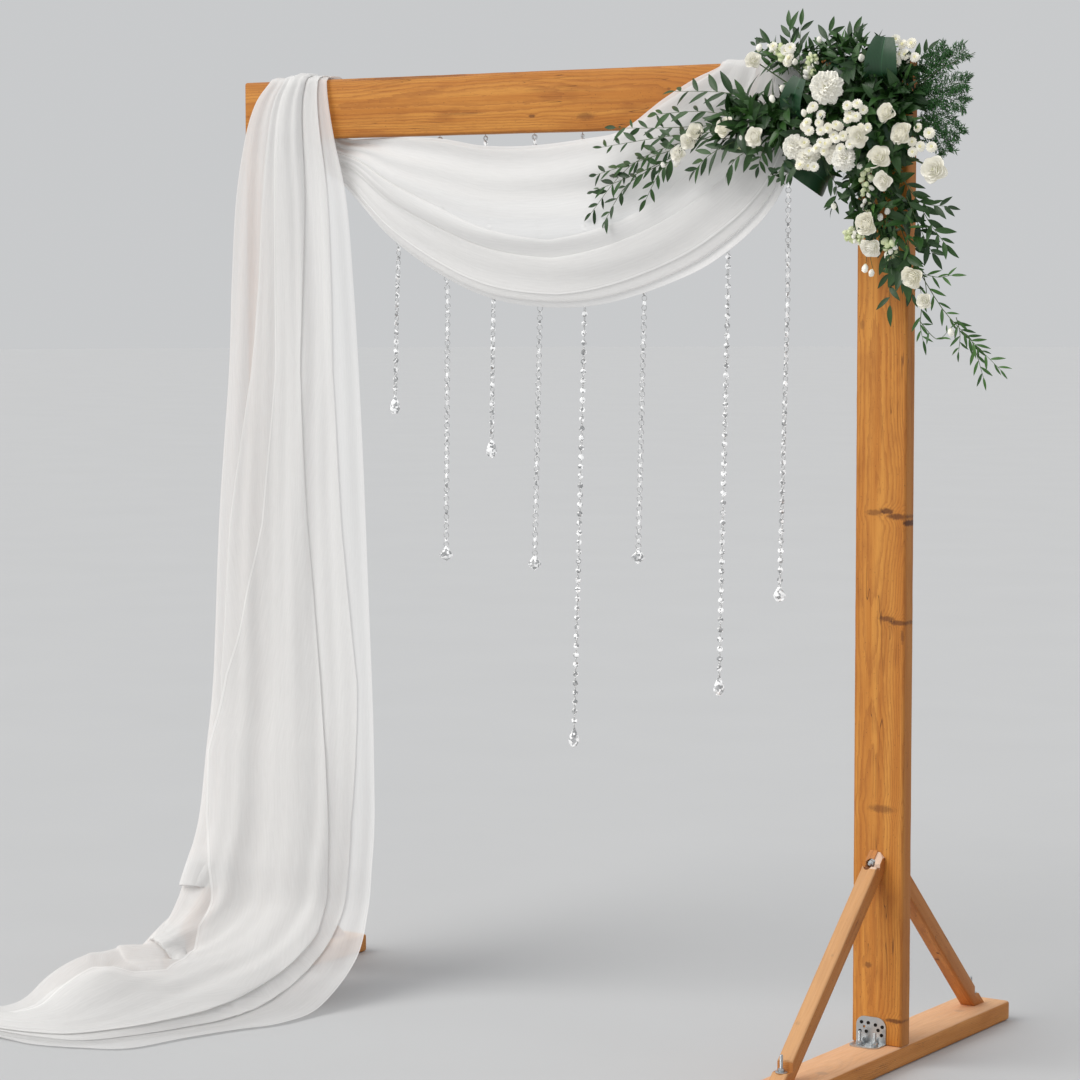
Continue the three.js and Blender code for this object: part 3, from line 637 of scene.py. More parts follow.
zinc_plate = plated("zinc_plate", (0.50, 0.52, 0.53), 0.2)
foot_bolt = joined([washer(WASHER_RADIUS, WASHER_THICKNESS), nut(WASHER_THICKNESS), stud(0, TOE_PROUD)])
foot_bolt.data.transform(Matrix.Translation(brace_point(TOE_BOLT, TOE_THICKNESS + SEAT)))
top_bolt = joined([washer(HEAD_WASHER, WASHER_THICKNESS), nut(WASHER_THICKNESS), stud(0, HEAD_PROUD)])
head_place = brace_point(HEAD_SEAT + SEAT, HEAD_UP, -HEAD_ASIDE)
top_bolt.data.transform(Matrix.Translation(head_place) @ Matrix.Rotation(math.pi / 2, 4, "X"))
for corner, sideways, backward in CORNERS:
    nearer = LEFT_BACK_SHORTER / 1000 if corner == "left_back" else 0
    shifts = {"foot_bolt": (0, -nearer, 0), "top_bolt": (0, 0, -nearer * BRACE_TOP / BRACE_REACH)}
    for bolt, kind in ((foot_bolt, "foot_bolt"), (top_bolt, "top_bolt")):
        node = f"{corner}_brace_{kind}"
        copy = to_corner(bolt, sideways, backward)
        copy.data.transform(Matrix.Translation(shifts[kind]))
        keep(copy, f"{node}_steel", zinc_plate, "galvanised_steel", node)
throw_away(foot_bolt, top_bolt)

# The angles: 2.5 mm galvanised steel, punched with round holes and fixed with black screws, with two pressed
# ribs across the bend. Four stand on the feet against the posts, and two tie the posts to the beam from
# inside.
ANGLE_STEEL = 2.5
HOLE_RADIUS, SCREW_RADIUS = 3.2, 4.3


def leg(width, reach, corner, holes):
    """One leg of an angle, standing up from the bend in the XZ plane: rounded free corners, punched holes."""
    plate = added(bpy.ops.mesh.primitive_plane_add, size=1, location=(0, 0, reach / 2000),
                  rotation=(math.pi / 2, 0, 0))
    plate.scale = (width / 1000, reach / 1000, 1)
    bpy.ops.object.transform_apply(location=True, rotation=True, scale=True)
    select_where(plate, "VERT", lambda vertex: vertex.co.z > reach / 2000)
    bpy.ops.mesh.bevel(offset=corner / 1000, segments=8, affect="VERTICES")
    bpy.ops.mesh.select_all(action="SELECT")
    bpy.ops.mesh.extrude_region_move(TRANSFORM_OT_translate={"value": (0, ANGLE_STEEL / 1000, 0)})
    bpy.ops.mesh.select_all(action="SELECT")
    bpy.ops.mesh.normals_make_consistent(inside=False)
    bpy.ops.object.mode_set(mode="OBJECT")
    punches = []
    for x, z in holes:
        punch = cylinder(HOLE_RADIUS, 4 * ANGLE_STEEL, 16)
        punch.data.transform(Matrix.Translation((x / 1000, 2 * ANGLE_STEEL / 1000, z / 1000))
                             @ Matrix.Rotation(math.pi / 2, 4, "X"))
        punches.append(punch)
    carve(plate, joined(punches))
    return plate


def screw(x, z):
    """A black cross-head screw in the upright leg."""
    head = cylinder(SCREW_RADIUS, 1.2, 20)
    for a, b in ((0.0026, 0.0004), (0.0004, 0.0026)):
        carve(head, block((-a, -b, 0.0004), (a, b, 0.004)))
    round_edges(head, 0.0003, 2)
    head.data.transform(Matrix.Translation((x / 1000, ANGLE_STEEL / 1000, z / 1000))
                        @ Matrix.Rotation(-math.pi / 2, 4, "X"))
    black = head.data.attributes.new("black", "FLOAT", "POINT")
    black.data.foreach_set("value", [1.0] * len(head.data.vertices))
    return head


def angle_bracket(width, height, length, corner, holes_up, holes_level, screws, ribs):
    """A steel angle with its bend along X at the origin, one leg up, the other towards +Y."""
    upright = leg(width, height, corner, holes_up)
    level = leg(width, length, corner, holes_level)
    level.data.transform(Matrix.Rotation(-math.pi / 2, 4, "X"))
    level.data.transform(Matrix.Translation((0, 0, ANGLE_STEEL / 1000)))
    carve(upright, level, "UNION")
    round_edges(upright, 0.0007, 2, 50)
    parts = [upright] + [screw(x, z) for x, z in screws]
    for x in ribs:
        rib = added(bpy.ops.mesh.primitive_uv_sphere_add, segments=16, ring_count=10, radius=1)
        rib.data.transform(
            Matrix.Translation((x / 1000, 0.0035, 0.0035)) @ Matrix.Rotation(math.pi / 4, 4, "X")
            @ Matrix.Diagonal((0.0032, 0.017, 0.0062, 1)))
        for face in rib.data.polygons:
            face.use_smooth = True
        parts.append(rib)
    return joined(parts)


FOOT_ANGLE_WIDTH, FOOT_ANGLE_HEIGHT, FOOT_ANGLE_LENGTH, ANGLE_CORNER = 78, 64, 52, 22
STAND_BOLT, STAND_OUT = 33, 26
foot_screws = [(25, 49), (7, 49), (-12, 46), (-30, 43), (29, 27), (12, 28), (-19, 34), (-28, 23)]
foot_angle = angle_bracket(
    FOOT_ANGLE_WIDTH, FOOT_ANGLE_HEIGHT, FOOT_ANGLE_LENGTH, ANGLE_CORNER,
    foot_screws + [(18, 39)], [(-31, 38), (31, 38), (0, 40)], foot_screws, (-15, 15),
)
stand_bolts = []
for x in (-23, 17):
    bolt = joined([nut(ANGLE_STEEL), stud(0, STAND_BOLT)])
    bolt.data.transform(Matrix.Translation((x / 1000, STAND_OUT / 1000, 0)))
    stand_bolts.append(bolt)
foot_angle = joined([foot_angle, *stand_bolts])
seat_place = arch(POST_X, -FACE, FOOT_TOP + SEAT)
foot_angle.data.transform(Matrix.Translation(seat_place) @ Matrix.Rotation(math.pi, 4, "Z"))
for corner, sideways, backward in CORNERS:
    node = f"{corner}_foot_bracket"
    copy = to_corner(foot_angle, sideways, backward)
    low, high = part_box(node)
    across_now = [v.co.x for v in copy.data.vertices]
    aside = (low.x + high.x) / 2 - (min(across_now) + max(across_now)) / 2
    copy.data.transform(Matrix.Translation((aside, 0, 0)))
    keep(copy, f"{node}_angle", zinc_plate, "galvanised_steel", node)
throw_away(foot_angle)
CORNER_WIDTH, CORNER_LEG = 40, 70
corner_holes = [(-10, 18), (10, 30), (-10, 44), (10, 58)]
for side, sign in (("left", -1), ("right", 1)):
    tie = angle_bracket(CORNER_WIDTH, CORNER_LEG, CORNER_LEG, 6, corner_holes, corner_holes,
                        corner_holes[1:3], (0,))
    low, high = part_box(f"{side}_corner_bracket")
    tie.data.transform(Matrix.Translation(((high.x if sign > 0 else low.x), (low.y + high.y) / 2, high.z))
                       @ Matrix.Rotation(sign * math.pi / 2, 4, "Z") @ Matrix.Rotation(math.pi, 4, "Y"))
    keep(tie, f"{side}_corner_tie", zinc_plate, "galvanised_steel", f"{side}_corner_bracket")

# The cloth: one length of white chiffon, 1.5 m wide, hemmed along both edges. It is folded lengthwise into
# layers, laid over the beam by the left post, falls to the floor over the left front brace, and ends in a
# heap.
FACE_OFF = 1000 * HALF_PLANK + 2.0
BEAM_TOP = 1000 * beam_high.z
BEAM_UNDER = 1000 * beam_low.z
# How far a fold's round and its step to the next layer reach, as shares of the flat cloth's width, and the
# length in metres that its map stands for
FOLD_ROUND, LAYER_STEP, MAP_LENGTH = 0.009, 0.0036, 4


def smooth_line(points, places):
    """A curve through the points, read at places counted in points from the first."""
    points = np.array(points, float)
    last = len(points) - 1
    cell = np.clip(np.floor(places).astype(int), 0, last - 1)
    t = (places - cell)[:, None]
    a, b, c, d = (points[np.clip(cell + k, 0, last)] for k in (-1, 0, 1, 2))
    return 0.5 * (2 * b + (c - a) * t + (2 * a - 5 * b + 4 * c - d) * t**2 + (3 * b - a - 3 * c + d) * t**3)


def even_places(first, second, rows, rolls):
    """Places along two edges so that the rows between them are evenly spaced, but closer together in the
    rolls, the length of the middle line, and how far along it each row lies."""
    fine = np.linspace(0, len(first) - 1, 4000)
    middle = (smooth_line(first, fine) + smooth_line(second, fine)) / 2
    step = np.linalg.norm(np.diff(middle, axis=0), axis=1)
    run = np.concatenate([[0], np.cumsum(step)])
    if rolls:
        step = step * np.where((fine[1:] > rolls[0]) & (fine[1:] < rolls[1]), 2.2, 1.0)
    heap = np.concatenate([[0], np.cumsum(step)])
    places = np.interp(np.linspace(0, heap[-1], rows), heap, fine)
    return places, run[-1], np.interp(places, fine, run)


def turning_columns(folds, columns):
    """The columns at which the folded cloth turns back, shared out by the layers' mean widths."""
    widths = np.mean([np.abs(np.diff(turns)) for place, turns in folds], axis=0)
    return np.concatenate([[0], np.round(np.cumsum(widths) / widths.sum() * (columns - 1))]).astype(int)


def columns_across(turns, knots):
    """The columns' places across the flat cloth, closer together where it is folded round."""
    ends = np.concatenate([[0], np.cumsum(np.abs(np.diff(turns)))])
    index = np.arange(knots[-1] + 1)
    cell = np.clip(np.searchsorted(knots, index, side="right") - 1, 0, len(knots) - 2)
    t = (index - knots[cell]) / (knots[cell + 1] - knots[cell])
    t = t - 0.6 * np.sin(2 * math.pi * t) / (2 * math.pi)
    return (ends[cell] + (ends[cell + 1] - ends[cell]) * t) / ends[-1]


def folded(column, turns):
    """Where each column lies when the cloth is folded back and forth between the turns, back layer first: its
    share of the way from one edge of the folded bundle to the other, and its layer."""
    turns = np.array(turns, float)
    runs = np.abs(np.diff(turns))
    ends = np.concatenate([[0], np.cumsum(runs)]) / runs.sum()
    soft = column[:, None] + np.linspace(-1, 1, 17)[None, :] * FOLD_ROUND
    share = np.interp(np.clip(soft, 0, 1), ends, turns).mean(axis=1)
    layer = sum(1 / (1 + np.exp(-(column - end) / LAYER_STEP)) for end in ends[1:-1])
    return share, layer


def waves(across, along, seed, counts):
    """A sum of slow waves across the cloth that drift as they run along it."""
    total = 0
    for k, count in enumerate(counts):
        drift = 0.9 * np.sin(1.9 * along + 2.1 * k + seed) + 0.5 * np.sin(4.3 * along + 1.3 * k * seed)
        total = total + np.sin(2 * math.pi * count * across + 1.7 * k + seed + drift) / (k + 1)
    return total


def relief(share, layer, column, along, seed, counts, gap, depth, pleat):
    """How far each column of a row stands out: its layer's own gap, slow waves that the layers share, a small
    wave of each layer's own, and fine pleats."""
    wave = waves(share, along, seed, counts) + 1.7
    own = np.sin(2 * math.pi * (5 * share + 0.37 * layer) + 2 * along)
    fine_pleat = np.sin(2 * math.pi * 21 * column + 1.5 * np.sin(6 * column + 1.1 * along))
    return layer * gap + depth * (0.60 * wave + 0.07 * own) + pleat * (fine_pleat + 1)


def rolled(rolls, place, share, layer, front_edge, forth):
    """How far a row of the back layers slides along the cloth, and how far it stands out, in loose rolls."""
    first, last, period, slide, stand = rolls
    begun = np.clip((place - first) / 0.3, 0, 1) * np.clip((last - place) / 0.9, 0, 1)
    begun = begun / (1 + np.exp(9 * (layer - 1.5)))
    shown = np.clip((front_edge - share) / 0.05, 0.12, 1)
    begun = begun * np.clip((front_edge + 0.16 - share) / 0.12, 0, 1)
    tilt = 2.0 * share * np.clip((place - first - 1.1) / 0.7, 0, 1)
    phase = 2 * math.pi * (place - first - tilt) / period
    return forth * (begun * slide * np.sin(phase))[:, None], begun * shown * stand * (1 + np.cos(phase - 1.6))


def bundle(net, folds, columns, rows, seed, counts, outward_sign=1, rolls=None, lies_from=99.0):
    """The folded cloth. Net holds its stations: each has six points across the bundle, the gap between
    layers, and the depth of its waves and of its pleats. Folds holds the turns at some of the stations. Rolls
    gives two stations between which the back layers have slid down into loose rolls, one roll's share of a
    station, how far the cloth slides and how far it stands out. From the station lies_from the edges lie flat
    on the floor."""
    points = np.array([station[0] for station in net], float)
    places, length, run = even_places(points[:, 0], points[:, -1], rows, rolls)
    stations = range(len(net))
    depths = np.stack([np.interp(places, stations, [station[k] for station in net]) for k in (1, 2, 3)], 1)
    knots = turning_columns(folds, columns)
    along = run / 1000

    def six_at(spots):
        return np.stack([smooth_line(points[:, k], spots) for k in range(6)], 1)

    here, ahead = six_at(places), six_at(np.clip(places + 0.05, 0, len(net) - 1.001))
    ahead[-1] = 2 * here[-1] - six_at(places[-1:] - 0.05)[0]
    grid = np.zeros((rows, columns, 3))
    across_flat = np.zeros((rows, columns))
    for i in range(rows):
        turns = [np.interp(places[i], [f[0] for f in folds], [f[1][k] for f in folds])
                 for k in range(len(folds[0][1]))]
        column = across_flat[i] = columns_across(turns, knots)
        share, layer = folded(column, turns)
        spread = depths[i][1] / 14
        share = share + 0.014 * spread * np.sin(2.2 * along[i] + 2.4 * layer) * np.sin(math.pi * share)
        spot = smooth_line(here[i], 5 * share)
        sideways = (smooth_line(here[i], 5 * np.clip(share + 0.03, 0, 1.03))
                    - smooth_line(here[i], 5 * (share - 0.03)))
        onward = smooth_line(ahead[i], 5 * share) - spot
        outward = np.cross(onward, sideways) * outward_sign
        outward /= np.maximum(np.linalg.norm(outward, axis=1), 1e-9)[:, None]
        off = relief(share, layer, column, along[i], seed, counts, *depths[i])
        down = np.clip((places[i] - lies_from) / 1.5, 0, 1)
        rim = np.minimum(np.clip((1 - share) / 0.2, 0, 1), np.clip(share / 0.15, 0, 1))
        off = off * (1 - down * (1 - rim))
        if rolls:
            forth = onward / np.linalg.norm(onward, axis=1)[:, None]
            slid, stood = rolled(rolls, places[i], share, layer, turns[3], forth)
            spot, off = spot + slid, off + stood
        grid[i] = spot + outward * off[:, None]
    return grid, across_flat, along, length


def flat_sheet(rows, columns):
    """A flat square of rows and columns of corners, one unit wide."""
    return added(bpy.ops.mesh.primitive_grid_add, x_subdivisions=columns - 1, y_subdivisions=rows - 1, size=1)


def cloth(grid, column, run):
    """A sheet whose corners lie at the given places, in mm, and are mapped by their place in the flat cloth:
    the share across and the share of the map's length along."""
    rows, columns = grid.shape[:2]
    piece = flat_sheet(rows, columns)
    places = grid / 1000 + np.array(arch(0, 0, 0))
    piece.data.vertices.foreach_set("co", places.reshape(-1).astype(np.float32))
    flat = np.stack([column, np.repeat(run[:, None] / MAP_LENGTH, columns, axis=1)], axis=-1).reshape(-1, 2)
    corner = np.zeros(len(piece.data.loops), int)
    piece.data.loops.foreach_get("vertex_index", corner)
    piece.data.uv_layers[0].data.foreach_set("uv", flat[corner].reshape(-1).astype(np.float32))
    bpy.ops.object.shade_smooth()
    piece.data.update()
    return piece


VEIL_COVER = 0.69


def chiffon():
    """White voile: a thin open weave, dense in the hems along both edges, that lets through part of the
    light."""
    veil = Finish("chiffon", Roughness=0.9, Sheen_Weight=0.2, Sheen_Roughness=0.4, Specular_IOR_Level=0.1)
    across, along = veil.parts(veil.node("ShaderNodeUVMap", {}, {}))[:2]
    weave = veil.noise(veil.point(across * 390, along * 60), 1.0, 1.0, 0.6)
    crease = veil.noise(veil.point(across * 24, along * 22), 1.0, 2.0, 0.5, 0.5)
    edge = (across - 0.5).size()
    hem = veil.fade(edge, 0.4950, 0.4958)
    stitch = veil.fade((edge - 0.4953).size(), 0.0009, 0.0003)
    white = veil.mix(weave, (0.94, 0.935, 0.93), (0.97, 0.965, 0.96))
    white = veil.mix(stitch * 0.35, white, (0.62, 0.62, 0.60))
    gathered = veil.fade(along, 0.17, 0.07)
    dense = (weave * 0.08 + (VEIL_COVER - 0.04) + hem * 0.12 + gathered * 0.14).least(1.0)
    veil.set(Base_Color=white)
    veil.bump(crease + hem * 0.3, 0.0014, 0.13)
    through = veil.node("ShaderNodeBsdfTranslucent", {}, {"Color": (0.97, 0.965, 0.955, 1)})
    open_weave = veil.node("ShaderNodeBsdfTransparent", {}, {})
    woven = veil.node("ShaderNodeMixShader", {}, {0: 0.28, 1: Wire(veil, veil.shader.outputs[0]), 2: through})
    both = veil.node("ShaderNodeMixShader", {}, {0: dense, 1: open_weave, 2: woven})
    output = veil.tree.nodes["Material Output"]
    veil.tree.links.new(both.socket, output.inputs["Surface"])
    return veil.material


veil = chiffon()

# The fall and its heap: stations of the folded cloth from behind the beam, over it, down its front and out
# over the floor to the tail. Each has six points from its left edge to its right, and below the fall the
# sheet sweeps forward, with a hollow billow at the left over the foot.
def six_points(left, right):
    """Six points in a straight row."""
    return [tuple(a + (b - a) * k / 5 for a, b in zip(left, right)) for k in range(6)]


def round_beam(left, right):
    """The points of the stations where the cloth lies over the beam, from its back to its front."""
    corner, reach = 7.0, 9.0
    turns = [(0, 1), (45, 1), (90, 1), (90, -1), (45, -1), (0, -1)]
    made = [six_points((left[0], FACE_OFF, BEAM_UNDER + 70), (right[0], FACE_OFF, BEAM_UNDER + 70))]
    for k, (turn, sign) in enumerate(turns, 1):
        y = sign * (1000 * HALF_PLANK - corner + reach * math.cos(math.radians(turn)))
        z = BEAM_TOP - corner + reach * math.sin(math.radians(turn))
        made.append(six_points(*((x[0] + (x[1] - x[0]) * k / 6, y, z) for x in (left, right))))
    return made


FALL = [
    (six_points((-850, FACE_OFF, BEAM_UNDER + 7), (-680, FACE_OFF, BEAM_UNDER + 7)), 1.6, 1.0, 0.8),
    *[(row, 2.6, 2.6, 1.4) for row in round_beam((-858, -888), (-685, -695))],
    (six_points((-929, -FACE_OFF - 4, 2290), (-686, -FACE_OFF - 3, 2290)), 2.6, 4, 2.0),
    (six_points((-959, -FACE_OFF - 8, 2200), (-664, -FACE_OFF - 6, 2200)), 3.2, 6, 2.4),
    (six_points((-983, -40, 2040), (-620, -36, 2040)), 2.4, 8, 1.6),
    (six_points((-994, -46, 1820), (-597, -38, 1820)), 2.2, 9, 1.0),
    (six_points((-999, -56, 1600), (-581, -40, 1600)), 2.2, 9, 0.7),
    (six_points((-1021, -78, 1200), (-556, -44, 1200)), 2.2, 10, 0.5),
    (six_points((-1014, -122, 800), (-535, -50, 800)), 2.3, 10, 0.4),
    (six_points((-1000, -178, 600), (-530, -56, 600)), 2.4, 9, 0.4),
    (six_points((-976, -240, 440), (-528, -62, 440)), 2.6, 9, 0.4),
    (six_points((-967, -300, 330), (-528, -76, 330)), 2.8, 9, 0.5),
    (six_points((-957, -372, 212), (-523, -103, 212)), 3.2, 9, 0.7),
    ([(-985, -440, 128), (-915, -455, 134), (-815, -420, 124), (-710, -360, 114), (-600, -285, 108),
      (-494, -195, 105)], 4.4, 9, 1.0),
    ([(-1050, -500, 20), (-990, -540, 118), (-885, -590, 116), (-765, -545, 72), (-620, -450, 44),
      (-488, -350, 20)], 5.0, 9, 1.3),
    ([(-1088, -590, 6), (-1015, -655, 118), (-890, -720, 112), (-770, -690, 54), (-630, -600, 24),
      (-499, -490, 5)], 4.0, 9, 1.5),
    ([(-1100, -680, 6), (-1030, -745, 92), (-905, -800, 88), (-790, -790, 40), (-670, -715, 16),
      (-553, -606, 4)], 3.5, 8, 1.5),
    ([(-1118, -745, 5), (-1052, -805, 46), (-935, -858, 50), (-830, -860, 24), (-715, -812, 11),
      (-602, -737, 4)], 3.0, 8, 1.5),
    ([(-1145, -785, 5), (-1090, -835, 26), (-1000, -890, 28), (-900, -915, 15), (-780, -918, 8),
      (-650, -890, 3)], 3.0, 7, 1.5),
    ([(-1180, -805, 4), (-1138, -850, 18), (-1070, -900, 20), (-980, -935, 12), (-870, -955, 7),
      (-752, -950, 3)], 2.5, 7, 1.5),
    ([(-1225, -815, 4), (-1192, -860, 14), (-1142, -905, 15), (-1075, -940, 10), (-985, -970, 6),
      (-872, -987, 3)], 2.5, 6, 1.5),
    ([(-1272, -820, 4), (-1250, -865, 11), (-1210, -905, 12), (-1160, -938, 8), (-1085, -965, 5),
      (-992, -979, 3)], 2.0, 5, 1.5),
    ([(-1312, -835, 4), (-1302, -870, 8), (-1280, -900, 8), (-1245, -928, 7), (-1195, -950, 5),
      (-1120, -970, 3)], 1.5, 3, 1.0),
]
FALL_FOLDS = [
    (0, [1.0, 0.0, 0.86, 0.25, 0.66, 0.36]), (9, [1.0, 0.0, 0.87, 0.26, 0.66, 0.36]),
    (11, [1.0, 0.0, 0.835, 0.20, 0.62, 0.36]), (12, [1.0, 0.0, 0.81, 0.155, 0.60, 0.36]),
    (13, [1.0, 0.0, 0.84, 0.08, 0.64, 0.29]), (14, [1.0, 0.0, 0.90, 0.06, 0.70, 0.095]),
    (15, [1.0, 0.0, 0.89, 0.10, 0.74, 0.035]), (16, [1.0, 0.0, 0.87, 0.12, 0.76, 0.06]),
    (17, [1.0, 0.0, 0.88, 0.15, 0.78, 0.12]), (18, [1.0, 0.0, 0.875, 0.21, 0.79, 0.18]),
    (18.5, [1.0, 0.0, 0.87, 0.27, 0.81, 0.24]), (19, [1.0, 0.0, 0.86, 0.38, 0.80, 0.35]),
    (19.5, [1.0, 0.0, 0.86, 0.48, 0.80, 0.45]), (20, [1.0, 0.0, 0.86, 0.54, 0.80, 0.51]),
    (20.5, [1.0, 0.0, 0.86, 0.49, 0.80, 0.46]), (21, [1.0, 0.0, 0.86, 0.37, 0.80, 0.34]),
    (22.5, [1.0, 0.0, 0.85, 0.30, 0.79, 0.34]), (28, [1.0, 0.0, 0.80, 0.30, 0.75, 0.40]),
]
grid, column, along, fall_length = bundle(
    FALL, FALL_FOLDS, columns=200, rows=430, seed=0.6, counts=(2.1, 3.7, 6.3, 10.5),
    rolls=(16.66, 20.1, 1.22, 74, 10), lies_from=18.6,
)
grid[:, :, 2] = np.maximum(grid[:, :, 2], 1.5)
fall = cloth(grid, column, along)
keep(fall, "chiffon_fall", veil, "sheer_cloth", "drape_fall", "drape_train")
round(fall_length / 1000, 2)

# The swag: the same cloth goes on behind the beam, comes forward under it, hangs in a belly across the front
# and climbs over the beam's right end, under the flowers, to a short tail behind.
def bellied(upper, lower, belly):
    """Six points between the swag's edges, bellied forward."""
    rows = six_points(upper, lower)
    return [(x, y - belly * math.sin(math.pi * k / 5), z) for k, (x, y, z) in enumerate(rows)]


SWAG = [
    (bellied((-674, FACE_OFF, BEAM_UNDER + 2), (-850, FACE_OFF, BEAM_UNDER + 2), 0), 1.2, 2.0, 1.0),
    (bellied((-640, 22, 2194), (-765, 30, 2128), 2), 1.4, 4.0, 2.4),
    (bellied((-560, 8, 2195), (-650, 16, 2068), 8), 1.8, 5.0, 2.4),
    (bellied((-460, -6, 2196), (-490, -10, 1946), 18), 2.6, 7.5, 1.6),
    (bellied((-330, -14, 2188), (-325, -24, 1853), 24), 3.0, 9.0, 1.0),
    (bellied((-204, -16, 2168), (-165, -32, 1793), 26), 3.4, 10.0, 0.7),
    (bellied((-57, -18, 2165), (0, -36, 1770), 26), 3.4, 10.0, 0.6),
    (bellied((111, -24, 2180), (160, -36, 1777), 24), 3.4, 10.0, 0.7),
    (bellied((209, -FACE_OFF - 1, 2199), (340, -36, 1823), 20), 3.0, 9.0, 1.0),
    (bellied((320, -FACE_OFF - 1, 2268), (500, -36, 1891), 12), 3.0, 7.0, 3.0),
    (bellied((400, -FACE_OFF - 1, 2312), (640, -34, 2011), 6), 2.2, 4.5, 3.0),
    (bellied((450, -FACE_OFF, 2332), (712, -FACE_OFF - 2, 2185), 2), 1.6, 3.0, 2.0),
    *[(row, 1.2, 1.5, 0.6) for row in round_beam((480, 472), (724, 732))[:0:-1]],
    (six_points((484, FACE_OFF, 2130), (706, FACE_OFF, 2100)), 3.0, 4.0, 2.0),
]
SWAG_FOLDS = [
    (0, [0.50, 0.0, 0.45, 0.05, 1.0, 0.42, 0.92, 0.60, 0.86]),
    (3, [0.53, 0.0, 0.42, 0.03, 1.0, 0.46, 0.95, 0.62, 0.88]),
    (4.4, [0.48, 0.0, 0.40, 0.03, 1.0, 0.50, 0.95, 0.64, 0.89]),
    (6.3, [0.44, 0.0, 0.355, 0.03, 1.0, 0.57, 0.95, 0.68, 0.90]),
    (7.7, [0.50, 0.0, 0.40, 0.03, 1.0, 0.52, 0.95, 0.64, 0.88]),
    (9, [0.55, 0.0, 0.42, 0.04, 1.0, 0.46, 0.94, 0.62, 0.87]),
    (18, [0.50, 0.0, 0.45, 0.05, 1.0, 0.42, 0.92, 0.60, 0.86]),
]
grid, column, along, swag_length = bundle(
    SWAG, SWAG_FOLDS, columns=200, rows=230, seed=1.9, counts=(1.9, 3.3, 5.6), outward_sign=-1,
)
swag = cloth(grid, column, along)
keep(swag, "chiffon_swag", veil, "sheer_cloth", "drape_swag")
round(swag_length / 1000, 2)

# The strands: clear octagon beads, 14.5 mm across, and bright wire rings by turns, hung from screw eyes under
# the beam, each with a cut pendant at its end.
HOOK_DEPTH = 7
BEAD, RING, WIRE, REPEAT = 14.5, 14.5, 1.8, 23.5
KNEE_HEIGHT = 1790
# Where each strand's hook, its knee at the cloth's lower edge and its pendant's tip are along the beam, the
# tip's height, the pendant's form, and how far, in degrees, its beads turn away from the front at its top and
# at its bottom
STRANDS = [
    (-484, -503, -513, 1490, "teardrop", 80, 25), (-366, -344, -353, 1121, "diamond", 88, 76),
    (-226, -203, -211, 1389, "teardrop", 52, 40), (-78, -62, -81, 1112, "diamond", 84, 80),
    (64, 71, 36, 675, "teardrop", 12, 2), (247, 243, 225, 1144, "diamond", 60, 88),
    (479, 478, 456, 835, "teardrop", 14, 4), (643, 642, 623, 1074, "drop", 92, 6),
]
# Each pendant's outline from its tip: radius and height
PENDANTS = {
    "teardrop": [(0, 0), (7.5, 4), (13, 12), (14, 19), (11, 31), (5, 43), (2, 51), (0, 52)],
    "diamond": [
        (0, 0), (15, 11.5), (17.2, 14.5), (17.2, 18.5), (13, 24), (8.7, 30), (4, 36), (2, 39.5), (0, 40),
    ],
    "drop": [(0, 0), (9, 3), (15, 12), (15.5, 17), (10, 28), (4, 36), (0, 37)],
}
# The least radius of a pendant's ends, how far above its crown the first ring's middle is, and how much of a
# strand's length that and the eye take up
POINT, RING_RISE, EYE_ROOM = 0.02, 4.4, 14


def cut_glass():
    """Clear crystal with painted glints: some facets painted bright and glowing, others painted dark."""
    glass = Finish("cut_crystal", Transmission_Weight=0.30, IOR=1.6, Specular_IOR_Level=1.0, Coat_Weight=0.8,
                   Emission_Strength=0.36)
    cells = glass.node("ShaderNodeTexVoronoi", {}, {"Vector": glass.place(), "Scale": 170}, "Color")
    painted_glint = glass.parts(cells)[0]
    haze = glass.noise(glass.place(), 90, 2.0)
    # Painted glints: cells of facets glow white or are painted dark, whatever the light.
    glass.set(Base_Color=glass.mix(painted_glint, (0.30, 0.31, 0.32), (1.0, 1.0, 1.0)), Roughness=haze * 0.08,
              Emission_Color=glass.mix(glass.fade(painted_glint, 0.36, 0.60), (0.0, 0.0, 0.0), (1.0, 1.0, 1.0)))
    return glass.material


def octagon():
    """A bead: an eight-sided lens, its edge cut to a girdle and its faces to a table."""
    bead = cylinder(BEAD / 2, 6.5, 8, (0, 0, -3.25))
    for sign in (1, -1):
        select_where(bead, "FACE", lambda face: face.normal.z * sign > 0.9)
        bpy.ops.mesh.inset(thickness=0.0030, depth=0)
        bpy.ops.object.mode_set(mode="OBJECT")
    for vertex in bead.data.vertices:
        reach = math.hypot(vertex.co.x, vertex.co.y)
        if reach > 0.006:
            vertex.co.z *= 0.34
    bead.data.transform(Matrix.Rotation(math.pi / 2, 4, "X") @ Matrix.Rotation(math.pi / 8, 4, "Z"))
    return bead


def wire_ring():
    """A ring of bright wire that stands upright."""
    ring = added(bpy.ops.mesh.primitive_torus_add, major_segments=14, minor_segments=5,
                 major_radius=(RING - WIRE) / 2000, minor_radius=WIRE / 2000, rotation=(math.pi / 2, 0, 0))
    bpy.ops.object.transform_apply(rotation=True)
    for face in ring.data.polygons:
        face.use_smooth = True
    return ring


def screw_eye():
    """A small eye on a shank, that hangs the strand from the beam."""
    eye = wire_ring()
    eye.data.transform(Matrix.Translation((0, 0, -0.0095)) @ Matrix.Diagonal((0.7, 1.5, 0.7, 1)))
    return joined([eye, cylinder(0.9, 6.5, 10, (0, 0, -6.2))])


